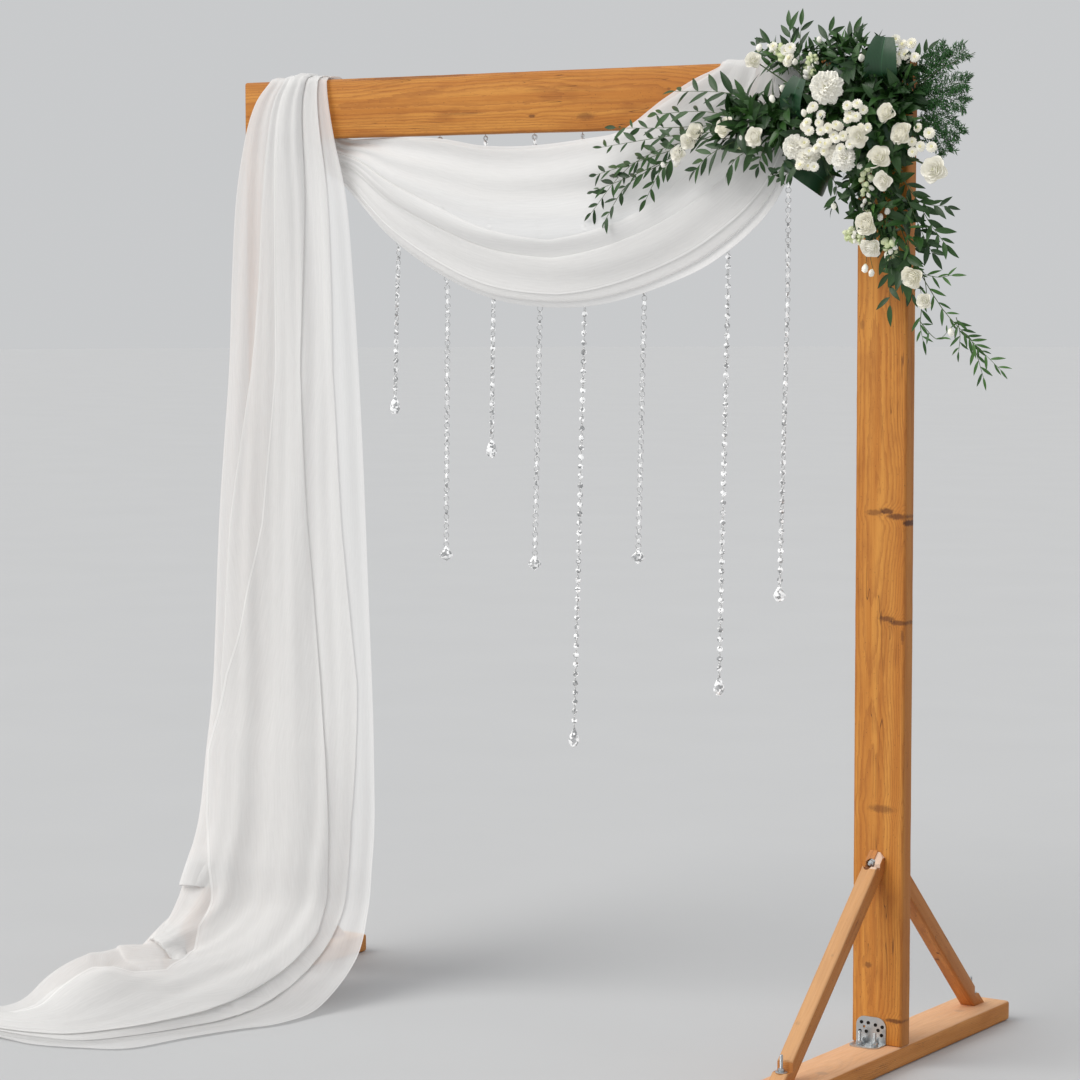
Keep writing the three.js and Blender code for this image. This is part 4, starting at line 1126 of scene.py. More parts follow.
def pendant(profile):
    """A cut drop: the profile turned into eight sides, its faces split into facets."""
    drop = added(bpy.ops.mesh.primitive_circle_add, vertices=8, radius=POINT / 1000)
    bpy.ops.object.mode_set(mode="EDIT")
    bpy.ops.mesh.select_mode(type="VERT")
    bpy.ops.mesh.select_all(action="SELECT")
    for k in range(1, len(profile)):
        (r0, z0), (r1, z1) = profile[k - 1], profile[k]
        bpy.ops.mesh.extrude_region_move(TRANSFORM_OT_translate={"value": (0, 0, (z1 - z0) / 1000)})
        grow = max(r1, POINT) / max(r0, POINT)
        turn = math.pi / 8 if k % 2 else -math.pi / 8
        bpy.ops.transform.resize(value=(grow, grow, 1), center_override=(0, 0, z1 / 1000))
        bpy.ops.transform.rotate(value=turn, orient_axis="Z", center_override=(0, 0, z1 / 1000))
    bpy.ops.mesh.select_all(action="SELECT")
    bpy.ops.mesh.remove_doubles(threshold=0.0001)
    bpy.ops.mesh.quads_convert_to_tris()
    bpy.ops.mesh.normals_make_consistent(inside=False)
    bpy.ops.object.mode_set(mode="OBJECT")
    edges = bmesh.new()
    edges.from_mesh(drop.data)
    bmesh.ops.holes_fill(edges, edges=edges.edges)
    bmesh.ops.triangulate(edges, faces=edges.faces)
    bmesh.ops.recalc_face_normals(edges, faces=edges.faces)
    edges.to_mesh(drop.data)
    edges.free()
    drop.data.transform(Matrix.Diagonal((1, 0.62, 1, 1)))
    return drop


def copied(model, matrices, shades=None):
    """One mesh of many copies of a model, one per matrix, each with its own shade if shades are given."""
    mesh = model.data
    corners = np.zeros(len(mesh.vertices) * 3)
    mesh.vertices.foreach_get("co", corners)
    corners = corners.reshape(-1, 3)
    faces = [tuple(face.vertices) for face in mesh.polygons]
    many = np.array([np.array(m) for m in matrices])
    spots = np.einsum("kij,nj->kni", many[:, :3, :3], corners) + many[:, None, :3, 3]
    count = len(corners)
    made = bpy.data.meshes.new("copies")
    made.from_pydata(spots.reshape(-1, 3).tolist(), [],
                     [tuple(v + k * count for v in face) for k in range(len(many)) for face in faces])
    smooth = [face.use_smooth for face in mesh.polygons] * len(many)
    made.polygons.foreach_set("use_smooth", smooth)
    if mesh.uv_layers:
        flat = np.zeros(len(mesh.loops) * 2)
        mesh.uv_layers[0].data.foreach_get("uv", flat)
        made.uv_layers.new(name="UVMap").data.foreach_set("uv", np.tile(flat, len(many)))
    if shades is not None:
        shade = made.attributes.new("shade", "FLOAT", "POINT")
        shade.data.foreach_set("value", np.repeat(np.array(shades, np.float32), count))
    return linked(made)


def linked(mesh):
    """A new object that shows a mesh."""
    piece = bpy.data.objects.new(mesh.name, mesh)
    bpy.context.scene.collection.objects.link(piece)
    return piece


def made_of(groups, shade=None):
    """Copies of each group's model, one per matrix, in the group's finish; shade draws each copy's shade."""
    parts = []
    for model, matrices, finish in groups:
        part = copied(model, matrices, [shade() for m in matrices] if shade else None)
        part.data.materials.append(finish)
        parts.append(part)
    return parts


glass, wire = cut_glass(), plated("bright_wire", (0.62, 0.62, 0.62), 0.08)
bead, ring, eye = octagon(), wire_ring(), screw_eye()
drops = {form: pendant(profile) for form, profile in PENDANTS.items()}
crosswise = Matrix.Rotation(math.pi / 2, 4, "Z")
for number, (hook_x, knee_x, tip_x, tip_z, form, turn_top, turn_end) in enumerate(STRANDS, 1):
    hook = arch(hook_x, HOOK_DEPTH, BEAM_UNDER - SEAT)
    knee = arch(knee_x, HOOK_DEPTH, KNEE_HEIGHT)
    tip = arch(tip_x, HOOK_DEPTH, tip_z)
    below_knee = 1000 * (knee - tip).length
    reach = below_knee + 1000 * (hook - knee).length
    crown = PENDANTS[form][-1][1]
    chain = reach - crown - EYE_ROOM
    links = round(chain / REPEAT)

    def spin(k):
        turn = turn_end + (turn_top - turn_end) * k / links + 7 * math.sin(0.9 * k + number)
        return Matrix.Rotation(YAW + math.radians(turn), 4, "Z")

    def above_tip(z):
        low, high, up = (tip, knee, z) if z < below_knee else (knee, hook, z - below_knee)
        lean = Vector((0, 0, 1)).rotation_difference(high - low).to_matrix().to_4x4()
        return Matrix.Translation(low) @ lean @ Matrix.Translation((0, 0, up / 1000))

    def link(k):
        return above_tip(crown + RING_RISE + chain / links * k)

    strand = joined(made_of([
        (bead, [link(k + 0.5) @ spin(k) for k in range(links)], glass),
        (drops[form], [above_tip(0) @ Matrix.Rotation(YAW + 0.3, 4, "Z")], glass),
        (ring, [link(k) @ spin(k + 0.5) @ crosswise for k in range(links + 1)], wire),
        (eye, [above_tip(reach)], wire),
    ]))
    settle(strand, f"crystal_chain_{number}", "cut_crystal", f"crystal_strand_{number}")
throw_away(bead, ring, eye, *drops.values())

# The foam: a block of wet green flower foam, tied on the beam's front at the right corner. The stems of all
# leaves and blooms are pushed into it.
foam_low, foam_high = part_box("flower_foam")
block_of_foam = block(foam_low, foam_high)
round_edges(block_of_foam, 0.006, 3)
foam = Finish("wet_foam", Roughness=0.8)
pores = foam.noise(foam.place(), 320, 3.0)
foam.set(Base_Color=foam.mix(pores, (0.02, 0.075, 0.03), (0.045, 0.13, 0.055)))
foam.bump(pores * 0.4, 0.0012, 0.8)
keep(block_of_foam, "foam_block", foam.material, "flower_foam_green", "flower_foam")


# The leaves: ruscus sprigs with pointed leaves by turns along thin stems, a few broad aspidistra leaves
# curled over, and filler leaves that hide the foam. Every leaf is a copy of one of a few blades.
def small_sheet(rows, columns, shape):
    """A leaf or petal: shape gives each corner's place in mm from how far across it is, -1 to 1, and how far
    along, 0 to 1."""
    made = flat_sheet(rows, columns)
    for vertex in made.data.vertices:
        vertex.co = Vector(shape(2 * vertex.co.x, vertex.co.y + 0.5)) / 1000
    bpy.ops.object.shade_smooth()
    return made


def blade(length, width, tip=0.85, fold=0.22, droop=0.18, rows=8, columns=5, wave=0.0):
    """A leaf along +Y from the origin, its face up: pointed, folded along its midrib, its end drooping."""
    def shape(a, t):
        half = width / 2 * max(0.03, math.sin(math.pi * min(t**tip, 0.992))) ** 0.85
        lift = fold * abs(a) * half - droop * length * t * t + wave * width * math.sin(8 * t + 2 * a) * abs(a)
        return a * half, t * length, lift
    return small_sheet(rows, columns, shape)


def rolled_leaf(length, width, turn):
    """A broad leaf along +Y from the origin, its face up, that rolls over backwards by a turn in degrees."""
    steps = np.linspace(0, 1, 200)
    bend = math.radians(turn) * steps**1.6
    reach, sink = (np.cumsum(part) * length / 200 for part in (np.cos(bend), np.sin(bend)))

    def shape(a, t):
        end = math.sqrt(max(0.01, 1 - max(0, (t - 0.7) / 0.3)**2))
        half = width / 2 * math.sin(math.pi * (0.12 + 0.8 * t)) ** 0.6 * end
        lift = 0.20 * abs(a) * half + 1.3 * math.sin(9 * t + 2 * a) * abs(a)
        lean = np.interp(t, steps, bend)
        return (a * half, np.interp(t, steps, reach) + lift * math.sin(lean),
                lift * math.cos(lean) - np.interp(t, steps, sink))
    return small_sheet(24, 9, shape)


def aim(place, along, face, size=1.0):
    """The matrix that sets a model's base at place, its +Y along one way and its face another way."""
    along = Vector(along).normalized()
    side = along.cross(Vector(face)).normalized()
    turn = Matrix((side, along, side.cross(along))).transposed().to_4x4()
    return Matrix.Translation(place) @ turn @ Matrix.Scale(size, 4)


def stalks(paths):
    """Round stems through lists of points, in mm, each with its thickness at both ends: one straight stalk of
    five sides, modelled once and bent along each path."""
    stalk = cylinder(1000, 1000, 5)
    on_edges(stalk, lambda a, b: abs(a.z - b.z) > 0.5, bpy.ops.mesh.subdivide, number_cuts=11)
    straight = np.array([vertex.co for vertex in stalk.data.vertices])
    faces = [tuple(face.vertices) for face in stalk.data.polygons]
    throw_away(stalk)
    spots, bent = [], []
    for points, thick, thin in paths:
        t = straight[:, 2]
        place, ahead, behind = (
            smooth_line(points, np.clip(t + step, 0, 1) * (len(points) - 1)) for step in (0, 0.02, -0.02)
        )
        way = ahead - behind
        way /= np.linalg.norm(way, axis=1)[:, None]
        side = np.cross(way, (0.13, 0.97, 0.21))
        side /= np.linalg.norm(side, axis=1)[:, None]
        other = np.cross(way, side)
        radius = (thick + (thin - thick) * t)[:, None]
        bent += [tuple(v + len(spots) * len(straight) for v in face) for face in faces]
        spots.append(place + radius * (side * straight[:, :1] + other * straight[:, 1:2]))
    places = np.concatenate(spots) / 1000 + np.array(arch(0, 0, 0))
    mesh = bpy.data.meshes.new("stalks")
    mesh.from_pydata(places.tolist(), [], bent)
    mesh.polygons.foreach_set("use_smooth", [True] * len(bent))
    mesh.materials.append(twig_bark.material)
    return linked(mesh)


def sprig(points, count, dice, length, spread=0.75, first=0.12):
    """The matrices of a sprig's leaves, by turns on both sides of its stem and one at its tip. Sizes are
    scaled from a leaf of 45 mm."""
    made = []
    for k in range(count + 1):
        t = first + (1 - first) * k / count
        u = t * (len(points) - 1)
        place, ahead = smooth_line(points, np.array([u, min(u + 0.05, len(points) - 1)]))
        back = smooth_line(points, np.array([max(u - 0.05, 0)]))[0]
        way = Vector(ahead - back).normalized()
        face = Vector((0.25, -1, 0.35)) + Vector((dice.uniform(-0.5, 0.5), 0, dice.uniform(-0.5, 0.5)))
        side = way.cross(face).normalized() * (1 if k % 2 else -1)
        turn = 0.15 * dice.uniform(-1, 1) if k == count else spread * dice.uniform(0.6, 1.2)
        along = way * math.cos(turn) + side * math.sin(turn) + face.normalized() * dice.uniform(-0.25, 0.3)
        size = length / 45 * dice.uniform(0.75, 1.1) * (1 - 0.25 * t)
        made.append(aim(arch(*place), along, face, size))
    return made


def leaf_finish(name, dark, light, vein, rough=0.28, gloss=0.45, ribbed=False):
    """A waxy leaf: a pale midrib, side veins that run out to its edge or ribs that run along it, and a tone
    of its own for every leaf."""
    leaf = Finish(name, Specular_IOR_Level=gloss)
    across, along = leaf.parts(leaf.node("ShaderNodeUVMap", {}, {}))[:2]
    off = (across - 0.5).size()
    shade = leaf.node("ShaderNodeAttribute", {"attribute_name": "shade"}, {}, 2)
    tone = leaf.mix(shade, dark, light)
    lines = across * 150 if ribbed else along * 60 - off * 34
    ribs = lines.maths("SINE", lines) * 0.5 + 0.5
    midrib = leaf.fade(off, 0.035, 0.01)
    blotch = leaf.noise(leaf.place(), 130, 2.0)
    tone = leaf.mix(ribs * (0.4 if ribbed else 0.16), tone, vein)
    tone = leaf.mix(midrib * 0.5, tone, vein)
    leaf.set(Base_Color=leaf.mix(blotch * 0.35, tone, dark), Roughness=blotch * 0.2 + rough)
    leaf.bump(ribs * 0.4 - midrib, 0.0006, 0.5)
    return leaf.material


LEAF_SHADES = random.Random(5)
deep_leaf = leaf_finish("ruscus_leaf", (0.006, 0.030, 0.006), (0.038, 0.110, 0.020), (0.07, 0.16, 0.04))
broad_leaf = leaf_finish("aspidistra_leaf", (0.003, 0.028, 0.009), (0.007, 0.050, 0.014),
                         (0.035, 0.14, 0.055), rough=0.30, gloss=0.6, ribbed=True)
fresh_leaf = leaf_finish("vine_leaf", (0.020, 0.075, 0.012), (0.075, 0.190, 0.035), (0.12, 0.26, 0.07))
fern_green = leaf_finish("fern_needle", (0.008, 0.060, 0.010), (0.030, 0.135, 0.022), (0.05, 0.16, 0.04))
twig_bark = Finish("green_stem", Roughness=0.6)
bark = twig_bark.noise(twig_bark.place(), 60, 3.0)
twig_bark.set(Base_Color=twig_bark.mix(bark, (0.035, 0.065, 0.018), (0.10, 0.15, 0.05)))


def arranged(name, slot, node, groups, stems, shade):
    """One piece of copied leaves or blooms, with the stems that carry them."""
    settle(joined(made_of(groups, shade) + [stalks(stems)]), name, slot, node)


def greenery(name, node, stems, groups):
    """One piece of leaves, every leaf with a shade of its own."""
    arranged(name, "leaves", node, groups, stems, LEAF_SHADES.random)


# The sprigs of each spray: the points of the stem, how many leaves it bears, and their length in mm, before
# both are raised by these factors
MORE_LEAVES, LONGER_LEAVES = 1.25, 1.22
SPRIGS = {
    "left": [
        ([(595, -115, 2166), (437, -125, 2162), (275, -110, 2108), (153, -90, 1999)], 17, 44),
        ([(566, -115, 2185), (402, -130, 2176), (194, -105, 2155)], 13, 42),
        ([(536, -115, 2199), (373, -120, 2196), (230, -100, 2200)], 10, 44),
        ([(506, -115, 2174), (338, -125, 2126), (175, -100, 2090)], 12, 42),
        ([(396, -120, 2125), (290, -110, 2088), (164, -95, 2051)], 8, 42),
        ([(373, -120, 2113), (264, -105, 2063), (195, -95, 1979)], 9, 42),
        ([(404, -120, 2125), (366, -120, 2093), (321, -110, 2029)], 6, 44),
        ([(621, -110, 2254), (542, -125, 2274), (395, -100, 2282)], 8, 56),
        ([(592, -110, 2210), (493, -130, 2231), (352, -110, 2229)], 8, 52),
        ([(569, -120, 2160), (514, -140, 2129), (464, -120, 2095)], 6, 54),
        ([(628, -120, 2146), (591, -145, 2121), (557, -125, 2090)], 5, 46),
    ],
    "top": [
        ([(686, -70, 2313), (665, -60, 2365), (618, -55, 2390)], 5, 48),
        ([(700, -70, 2321), (687, -60, 2375), (675, -50, 2424)], 5, 51),
        ([(715, -70, 2320), (706, -55, 2370), (704, -45, 2426)], 5, 49),
        ([(778, -80, 2318), (777, -60, 2360), (781, -50, 2408)], 6, 48),
        ([(828, -80, 2314), (831, -60, 2360), (845, -50, 2404)], 6, 46),
        ([(990, -80, 2306), (1016, -70, 2330), (1040, -60, 2355)], 4, 46),
        ([(648, -80, 2323), (634, -70, 2362), (592, -60, 2383)], 5, 38),
    ],
    "post": [
        ([(1008, -110, 2065), (1037, -85, 2015), (1100, -75, 2005)], 8, 44),
        ([(1022, -110, 2052), (1056, -80, 1972), (1096, -75, 1920)], 8, 46),
        ([(1015, -110, 2028), (1038, -85, 1954), (1065, -80, 1901)], 7, 50),
        ([(938, -95, 1967), (954, -85, 1892), (957, -75, 1783)], 6, 50),
        ([(980, -95, 1954), (990, -85, 1880), (1014, -75, 1808)], 6, 44),
        ([(910, -110, 2054), (884, -100, 2004), (889, -95, 1973)], 6, 36),
    ],
    "heart": [
        ([(718, -150, 2106), (707, -150, 2087), (674, -130, 2077)], 5, 42),
        ([(761, -150, 2105), (730, -140, 2087), (703, -130, 2074)], 5, 42),
        ([(827, -140, 2092), (836, -110, 2048), (814, -90, 2004)], 6, 40),
        ([(884, -140, 2078), (872, -110, 2036), (874, -95, 1998)], 6, 38),
        ([(663, -130, 2164), (654, -140, 2126), (641, -130, 2101)], 5, 42),
    ],
    "vine": [
        ([(1008, -95, 1954), (1014, -85, 1892), (1023, -75, 1855), (1039, -72, 1793)], 8, 34),
        ([(1033, -75, 1855), (1088, -72, 1775), (1144, -72, 1720), (1178, -72, 1689), (1234, -72, 1640)],
         17, 34),
        ([(1044, -75, 1852), (1076, -70, 1846), (1107, -68, 1850)], 4, 36),
        ([(1036, -72, 1780), (1032, -70, 1737), (1038, -68, 1703)], 4, 36),
        ([(1123, -72, 1756), (1132, -70, 1719), (1128, -68, 1679)], 5, 32),
        ([(1164, -72, 1701), (1177, -70, 1665), (1190, -68, 1622)], 5, 34),
        ([(1029, -72, 1749), (1074, -70, 1706), (1106, -66, 1731)], 4, 26),
    ],
}
dice = random.Random(11)
ruscus = blade(45, 13)
long_leaf = blade(45, 9, tip=0.9, fold=0.15, droop=0.25)
broad = rolled_leaf(175, 80, 165)
filler = blade(62, 24, tip=0.8, fold=0.25, droop=0.3, wave=0.02)


def sprigs_of(spray):
    """All leaves and stems of the sprigs of one spray."""
    leaves, stems = [], []
    for points, count, length in SPRIGS[spray]:
        leaves += sprig(points, round(MORE_LEAVES * count), dice, LONGER_LEAVES * length)
        stems.append((points, 1.1, 0.5))
    return leaves, stems


def filled(lumps, count, tilt=0.9):
    """Leaves that stand out from rounded lumps. Each lump has its middle, half sizes and share of them."""
    made = []
    for middle, half, share in lumps:
        for k in range(int(count * share)):
            out = Vector((dice.gauss(0, 1), -abs(dice.gauss(0, 1)), dice.gauss(0, 1))).normalized()
            if dice.random() < 0.12:
                out.y = abs(out.y) * 0.5
            depth = dice.uniform(0.45, 0.86)
            base = Vector(middle) + Vector([o * h * depth for o, h in zip(out, half)])
            base.y = min(base.y, -FACE_OFF - 2)
            astray = Vector((dice.gauss(0, 1), dice.gauss(0, 0.6), dice.gauss(0, 1))).normalized()
            along = (out + astray * tilt).normalized()
            if along.y > 0.2:
                along.y = -along.y
            face = out + Vector((0, -0.5, 0.6))
            made.append(aim(arch(*base), along, face, dice.uniform(0.6, 1.1)))
    return made


HEART = [((790, -92, 2212), (175, 74, 95), 0.38), ((925, -92, 2190), (120, 76, 138), 0.34),
         ((640, -92, 2225), (105, 45, 48), 0.09), ((870, -80, 2318), (130, 56, 48), 0.10),
         ((985, -80, 2240), (45, 52, 110), 0.12), ((940, -72, 2310), (55, 42, 55), 0.09)]
heart_stems = [
    ([(820 + dice.uniform(-60, 60), -60, 2205), (x, -110, z)], 2.2, 1.4)
    for x, z in ((843, 2274), (761, 2131), (1019, 2165), (969, 2112), (925, 2163), (926, 1990), (1093, 2085),
                 (621, 2343), (558, 2187), (648, 2167))
]
leaves, stems = sprigs_of("heart")
# The broad leaves: where each starts, the ways it and its face point, and its size
BROAD_LEAVES = [
    ((966, -125, 2386), (-0.05, -0.30, -0.93), (0.25, -1, 0.45), 1.0),
    ((763, -150, 2299), (-0.36, -0.25, -0.85), (-0.15, -1, 0.45), 0.92),
    ((936, -140, 2202), (0.60, -0.12, -0.75), (0.35, -1, 0.35), 0.95),
    ((880, -120, 2175), (0.75, -0.25, -0.35), (0.2, -1, 0.6), 0.9),
    ((712, -120, 2118), (0.92, -0.22, -0.30), (0.1, -1, 0.5), 0.95),
    ((860, -110, 2270), (-0.25, -0.15, 0.9), (-0.2, -1, 0.5), 0.8),
]
greenery("heart_leaves", "foliage_mass", stems + heart_stems, [
    (filler, filled(HEART, 560), deep_leaf),
    (ruscus, leaves + filled(HEART, 260, 1.4), deep_leaf),
    (long_leaf, filled(HEART, 120, 0.6), fresh_leaf),
    (broad, [aim(arch(*place), along, face, size) for place, along, face, size in BROAD_LEAVES], broad_leaf),
])

TOP = [((710, -60, 2352), (95, 36, 26), 0.45), ((865, -58, 2362), (115, 38, 26), 0.55)]
leaves, stems = sprigs_of("top")
greenery("top_sprigs", "top_leaves", stems, [
    (ruscus, leaves, deep_leaf),
    (ruscus, filled(TOP, 100, 1.0), deep_leaf),
    (long_leaf, filled(TOP, 60, 0.7), fresh_leaf),
])

leaves, stems = sprigs_of("left")
LEFT = [((600, -110, 2190), (60, 40, 45), 1.0)]
greenery("left_sprigs", "left_spray", stems, [
    (long_leaf, leaves[::2], deep_leaf),
    (ruscus, leaves[1::2], deep_leaf),
    (filler, filled(LEFT, 40), deep_leaf),
])

leaves, stems = sprigs_of("post")
POST = [((935, -75, 2000), (60, 38, 70), 0.6), ((1000, -75, 1930), (50, 34, 90), 0.3),
        ((915, -75, 2085), (75, 42, 55), 0.5)]
greenery("post_sprigs", "post_spray", stems, [
    (ruscus, leaves, deep_leaf),
    (filler, filled(POST, 90), deep_leaf),
    (long_leaf, filled(POST, 60, 0.7), fresh_leaf),
])

leaves, stems = sprigs_of("vine")
greenery("hanging_vine", "trailing_vine", stems, [(long_leaf, leaves, fresh_leaf)])

# The fern: asparagus fern, a pale stem with short side twigs, each feathered with fine needles, and a bare
# pale twig beside it.
needle = blade(13, 2.3, tip=1.0, fold=0.0, droop=0.1, rows=3, columns=2)
FRONDS = [
    [(1022, -80, 2262), (1070, -70, 2320), (1128, -55, 2352)],
    [(1030, -80, 2243), (1080, -70, 2250), (1132, -60, 2232)],
    [(1034, -80, 2224), (1085, -72, 2200), (1124, -65, 2165)],
    [(1026, -80, 2286), (1050, -70, 2325), (1085, -60, 2356)],
    [(1030, -80, 2232), (1090, -66, 2275), (1136, -56, 2280)],
    [(1036, -84, 2210), (1070, -80, 2170), (1095, -72, 2128)],
]
needles, frond_stems = [], [([(1024, -85, 2277), (1090, -70, 2318), (1156, -55, 2347)], 1.2, 0.8)]
for points in FRONDS:
    frond_stems.append((points, 0.9, 0.4))
    for k in range(1, 23):
        u = k / 23 * 2
        place, ahead = smooth_line(points, np.array([u, min(u + 0.08, 2)]))
        way = Vector(ahead - place).normalized()
        for sign in (1, -1):
            side = way.cross(Vector((0.2, -1, 0.2))).normalized() * sign
            branch = (way * 0.7 + side + Vector((0, dice.uniform(-0.7, 0.5), 0))).normalized()
            reach = 36 * (1 - 0.45 * k / 23) * dice.uniform(0.7, 1.1)
            tip = Vector(place) + branch * reach
            frond_stems.append(([tuple(place), tuple(tip)], 0.35, 0.2))
            for j in range(1, 19):
                spot = Vector(place) + branch * reach * j / 18
                along = branch * 0.8 + Vector((dice.gauss(0, 1), dice.gauss(0, 1), dice.gauss(0, 1))) * 0.6
                needles.append(aim(arch(*spot), along, (0.1, -1, 0.4), dice.uniform(0.7, 1.1)))
greenery("asparagus_fern", "fern_spray", frond_stems, [(needle, needles, fern_green)])
throw_away(ruscus, long_leaf, broad, filler, needle)


# The blooms: frilled carnations, spiral roses, button chrysanthemums, buds and pale snapdragon spikes, all
# white to cream. Each kind is built once of copies of one petal, then copied to its places.
def petal(length, width, bow, cup, lip, frill=0.0, rows=6, columns=6):
    """A petal along +Y, its inner side up: bowed outwards, cupped across, its lip rolled back and frilled."""
    def shape(a, t):
        half = width / 2 * math.sin(math.pi * (0.08 + 0.62 * t)) ** 0.7
        ruffle = frill * (math.sin(8.5 * a + 1.3) + 0.6 * math.sin(15 * a)) * t**3
        reach = t * length * (1 - 0.22 * a * a) + 0.35 * ruffle
        rolled = lip * length * max(0, t - 0.65) ** 2 * 8
        lift = cup * a * a * half - bow * length * math.sin(math.pi * t) - rolled
        return a * half, reach, lift + ruffle
    return small_sheet(rows, columns, shape)


def whorls(rows):
    """The matrices of petals round the +Z axis: each row has how many, how far they lean from the axis in
    degrees, their size, how far up and out they start, and how much they stray."""
    made = []
    for count, lean, size, rise, out, stray in rows:
        begin = dice.uniform(0, 6.28)
        for k in range(count):
            turn = begin + 2 * math.pi * k / count + dice.uniform(-stray, stray)
            tilt = math.radians(lean) + dice.uniform(-stray, stray) * 0.5
            away = Vector((math.cos(turn), math.sin(turn), 0))
            along = away * math.sin(tilt) + Vector((0, 0, math.cos(tilt)))
            face = -away * math.cos(tilt) + Vector((0, 0, math.sin(tilt)))
            made.append(aim(away * out / 1000 + Vector((0, 0, rise / 1000)), along, face, size))
    return made


def bloom(model, rows):
    """A flower of one petal's copies, standing on its stem along +Z."""
    places = whorls(rows)
    flower = copied(model, places, [dice.random() * 0.5 for place in places])
    throw_away(model)
    return flower


carnation = bloom(petal(29, 22, bow=0.03, cup=0.15, lip=0.20, frill=2.6, columns=13), [
    (9, 84, 1.0, 0, 2, 0.3), (9, 66, 1.0, 1, 2, 0.4), (9, 50, 1.0, 2, 2, 0.45), (9, 36, 0.98, 3, 2, 0.45),
    (8, 22, 0.98, 4, 2, 0.45), (6, 8, 1.0, 4, 1, 0.4),
])
rose = bloom(petal(29, 33, bow=0.20, cup=0.75, lip=0.16), [
    (4, 66, 0.95, 0, 2, 0.15), (5, 50, 1.0, 0, 2, 0.15), (5, 36, 0.94, 3, 2, 0.12),
    (4, 25, 0.84, 6, 1.6, 0.12), (4, 16, 0.72, 9, 1.6, 0.12), (3, 9, 0.60, 12, 1.2, 0.1),
    (3, 2, 0.48, 15, 0.8, 0.1),
])
mum = bloom(petal(9.5, 5.5, bow=0.02, cup=0.3, lip=0.0, rows=4, columns=3), [
    (14, 86, 1.0, 0, 2, 0.1), (13, 72, 0.95, 1.2, 2, 0.1), (11, 58, 0.8, 2.2, 1.6, 0.1),
    (8, 44, 0.62, 3, 1.2, 0.1),
])
bud = bloom(petal(22, 13, bow=0.24, cup=0.75, lip=-0.16), [
    (3, 8, 1.0, 0, 1.6, 0.1), (3, 2, 0.96, 0.5, 1.0, 0.1),
])
mum_eye = added(bpy.ops.mesh.primitive_uv_sphere_add, segments=8, ring_count=5, radius=0.0034,
                location=(0, 0, 0.0032))
bpy.ops.object.transform_apply(location=True)
bpy.ops.object.shade_smooth()


def head(place, size=1.0, toward=(0.1, -1, 0.15), stray=0.35):
    """The matrix of a bloom at a place, in mm, turned about its stem and facing one way, more or less."""
    way = Vector(toward).normalized() + Vector([dice.uniform(-stray, stray) for k in range(3)])
    turn = way.to_track_quat("Z", "Y").to_matrix().to_4x4()
    turn = turn @ Matrix.Rotation(dice.uniform(0, 6.28), 4, "Z")
    return Matrix.Translation(arch(*place)) @ turn @ Matrix.Scale(size, 4)


def cluster(middle, count, spread):
    """Places of small blooms close together round a middle, none on top of another."""
    made = []
    while len(made) < count:
        aside, out, up = dice.uniform(-1, 1) * spread, dice.uniform(-9, 9), dice.uniform(-1, 1) * spread
        spot = Vector(middle) + Vector((aside, out, up))
        if all((spot - other).length > 17 for other in made):
            made.append(spot)
    return made


def petal_finish(name, white, cream, base):
    """A soft petal with a tint of its own for every one, greener at its base, and a faint painted-light glow.
    """
    # The faint glow in the petal's own colour is painted light, that brightens the crevices between petals.
    finish = Finish(name, Roughness=0.75, Sheen_Weight=0.1, Emission_Strength=0.07)
    across, along = finish.parts(finish.node("ShaderNodeUVMap", {}, {}))[:2]
    own = finish.node("ShaderNodeAttribute", {"attribute_name": "shade"}, {}, 2)
    tint = finish.mix(own, white, cream)
    tint = finish.mix(finish.fade(along, 0.40, 0.0) * 0.7, tint, base)
    streak = finish.noise(finish.point(across * 26, along * 3), 1.0, 2.0)
    coloured = finish.mix(streak * 0.15, tint, cream)
    finish.set(Base_Color=coloured, Emission_Color=coloured)
    finish.bump(streak, 0.0005, 0.4)
    return finish.material


white_petal = petal_finish("white_petal", (0.98, 0.965, 0.91), (0.95, 0.92, 0.79), (0.68, 0.72, 0.42))
green_petal = petal_finish("green_petal", (0.66, 0.74, 0.42), (0.86, 0.87, 0.66), (0.30, 0.44, 0.14))
yellow_eye = petal_finish("yellow_green_eye", (0.80, 0.76, 0.46), (0.72, 0.70, 0.38), (0.50, 0.52, 0.22))


def blossoms(name, node, stems, groups):
    """One piece of white blooms, every bloom with a shade of its own."""
    arranged(name, "petals", node, groups, stems, lambda: dice.random() * 0.5)


# The chrysanthemums: where each cluster's middle is, how many blooms it has and how far they spread
MUMS = [
    ((926, -180, 2208), 8, 30), ((810, -180, 2202), 8, 30), ((862, -180, 2167), 4, 22),
    ((805, -172, 2123), 6, 28), ((1004, -100, 2356), 8, 28), ((1056, -125, 2153), 6, 28),
    ((698, -120, 2348), 5, 28), ((895, -178, 2160), 6, 26), ((845, -178, 2140), 3, 18),
]
mum_spots = [spot for middle, count, spread in MUMS for spot in cluster(middle, count, spread)]
mum_heads = [head(spot, dice.uniform(1.0, 1.25)) for spot in mum_spots]
mum_stems = [([(830, -70, 2210), tuple(spot + Vector((0, 6, 0)))], 1.0, 0.8) for spot in mum_spots[::2]]
# The carnations: place, size and how much they stray from facing the front
CARNATIONS = [((843, -168, 2274), 1.30, 0.1), ((752, -150, 2142), 1.0, 0.1), ((785, -150, 2118), 0.95, 0.15),
              ((884, -158, 2113), 0.98, 0.15), ((855, -150, 2122), 0.8, 0.15)]
blossoms("carnations_and_mums", "white_carnation", mum_stems, [
    (carnation, [head(place, size, stray=stray) for place, size, stray in CARNATIONS], white_petal),
    (mum, mum_heads, white_petal),
    (mum_eye, mum_heads, yellow_eye),
])

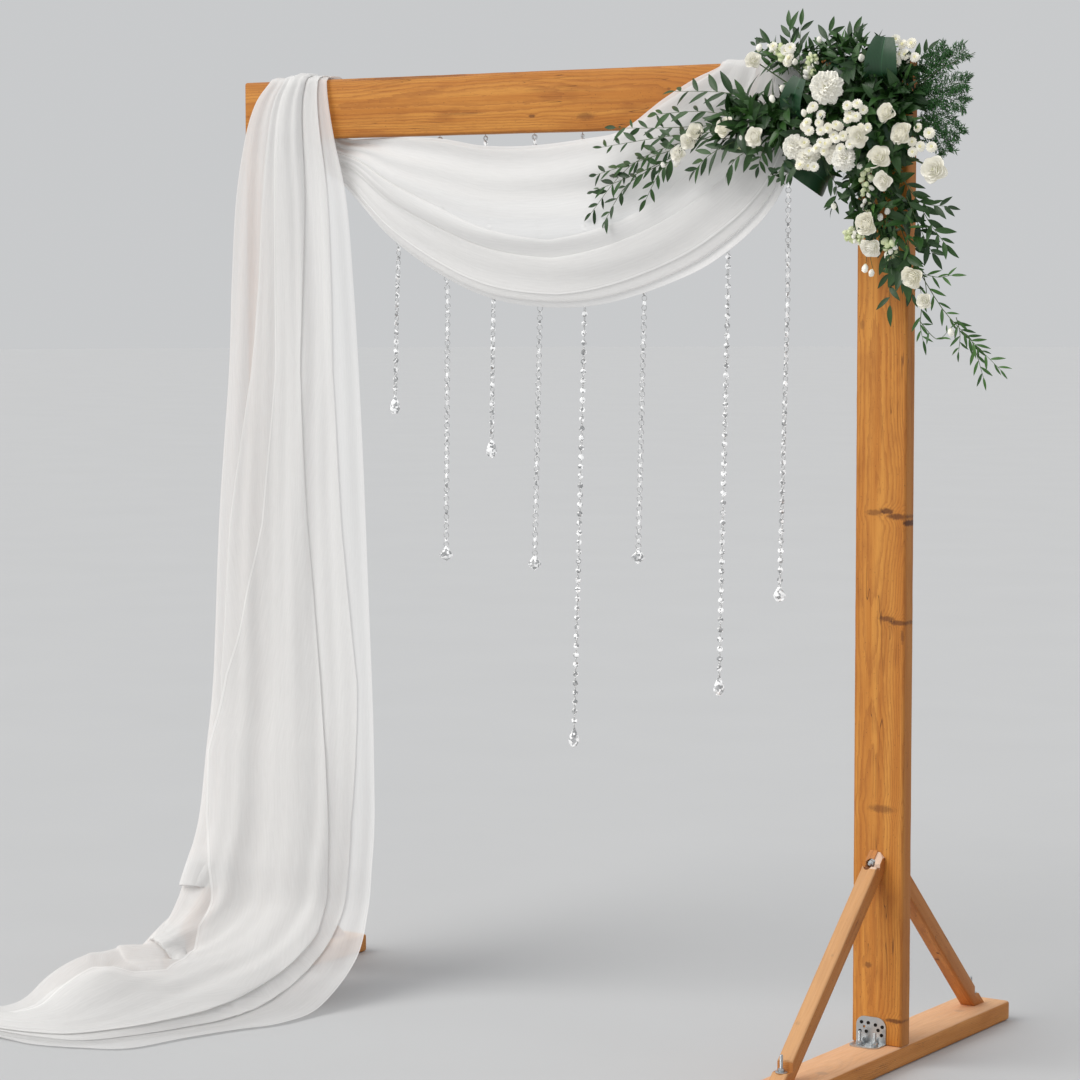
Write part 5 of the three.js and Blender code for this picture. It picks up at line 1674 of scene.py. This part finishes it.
BUDS = [
    (633, -120, 2364), (926, -120, 2324), (903, -120, 2332), (783, -100, 2380), (790, -180, 2209),
    (708, -180, 2243), (896, -80, 1876), (913, -80, 1864), (822, -100, 2015), (403, -110, 2104),
    (378, -110, 2102), (606, -140, 2158), (700, -120, 2268), (735, -130, 2330), (945, -100, 1990),
    (962, -95, 2002), (1106, -68, 1731),
]
ROSES = [
    ((1019, -130, 2165), 1.05), ((969, -150, 2112), 1.05), ((926, -170, 2163), 0.95),
    ((1093, -120, 2085), 1.15), ((980, -150, 2064), 0.85), ((988, -150, 2212), 0.85),
    ((621, -120, 2343), 0.75), ((926, -122, 1967), 1.05), ((1025, -90, 1849), 1.0), ((1049, -80, 1793), 0.7),
    ((923, -100, 1919), 0.95), ((558, -130, 2187), 1.0), ((464, -120, 2182), 0.8), ((447, -120, 2162), 0.8),
    ((420, -120, 2133), 0.75), ((648, -150, 2167), 0.9),
]
SPIKES = [
    [(923, -130, 2105), (918, -118, 2050), (907, -100, 1998)],
    [(969, -100, 1935), (966, -90, 1905), (964, -80, 1872)],
    [(640, -130, 2170), (610, -130, 2155), (588, -125, 2150)],
    [(705, -110, 2345), (690, -105, 2365), (655, -100, 2375)],
    [(770, -110, 2300), (765, -105, 2330), (768, -100, 2352)],
    [(853, -90, 1950), (870, -92, 1940), (890, -90, 1930)],
]
florets, spike_stems = [], []
for points in SPIKES:
    spike_stems.append((points, 1.3, 0.6))
    for k in range(26):
        t = k / 25
        place, ahead = smooth_line(points, np.array([2 * t * 0.98, min(2 * t * 0.98 + 0.05, 2)]))
        way = Vector(ahead - place).normalized()
        round_way = Matrix.Rotation(2.4 * k, 4, way) @ way.orthogonal()
        florets.append(head(Vector(place) + round_way * 3, 0.95 - 0.50 * t, way * 0.9 + round_way, 0.15))
low_stems = [
    ([(920, -70, 1990), (905, -85, 1930), (896, -78, 1878)], 0.9, 0.6),
    ([(920, -70, 1990), (905, -85, 1930), (913, -78, 1866)], 0.9, 0.6),
    ([(900, -70, 1960), (915, -88, 1915)], 0.9, 0.7),
    ([(955, -70, 2010), (1000, -85, 1930), (1025, -80, 1855)], 1.6, 1.2),
    ([(1012, -80, 1890), (1040, -72, 1850), (1049, -72, 1800)], 1.2, 0.9),
]
rose_stems = [
    ([(x * 0.6 + 340, -70, z * 0.6 + 870), (x, y + 12, z)], 1.2, 0.9)
    for (x, y, z), size in ROSES if size > 0.8 and z > 2000 and x > 700
]
rose_heads = [head(place, size, (0.1, -1, -0.35 if place[2] < 2000 else 0.15)) for place, size in ROSES]
bud_heads = [
    head(place, dice.uniform(0.8, 1.0), (0.1, -0.5, 1.0 if place[2] > 2100 else -1.0)) for place in BUDS
]
blossoms("roses_and_spikes", "white_roses", spike_stems + low_stems + rose_stems, [
    (rose, rose_heads, white_petal),
    (bud, bud_heads + florets[::3], white_petal),
    (bud, [matrix for k, matrix in enumerate(florets) if k % 3], green_petal),
])
throw_away(carnation, rose, mum, mum_eye, bud)
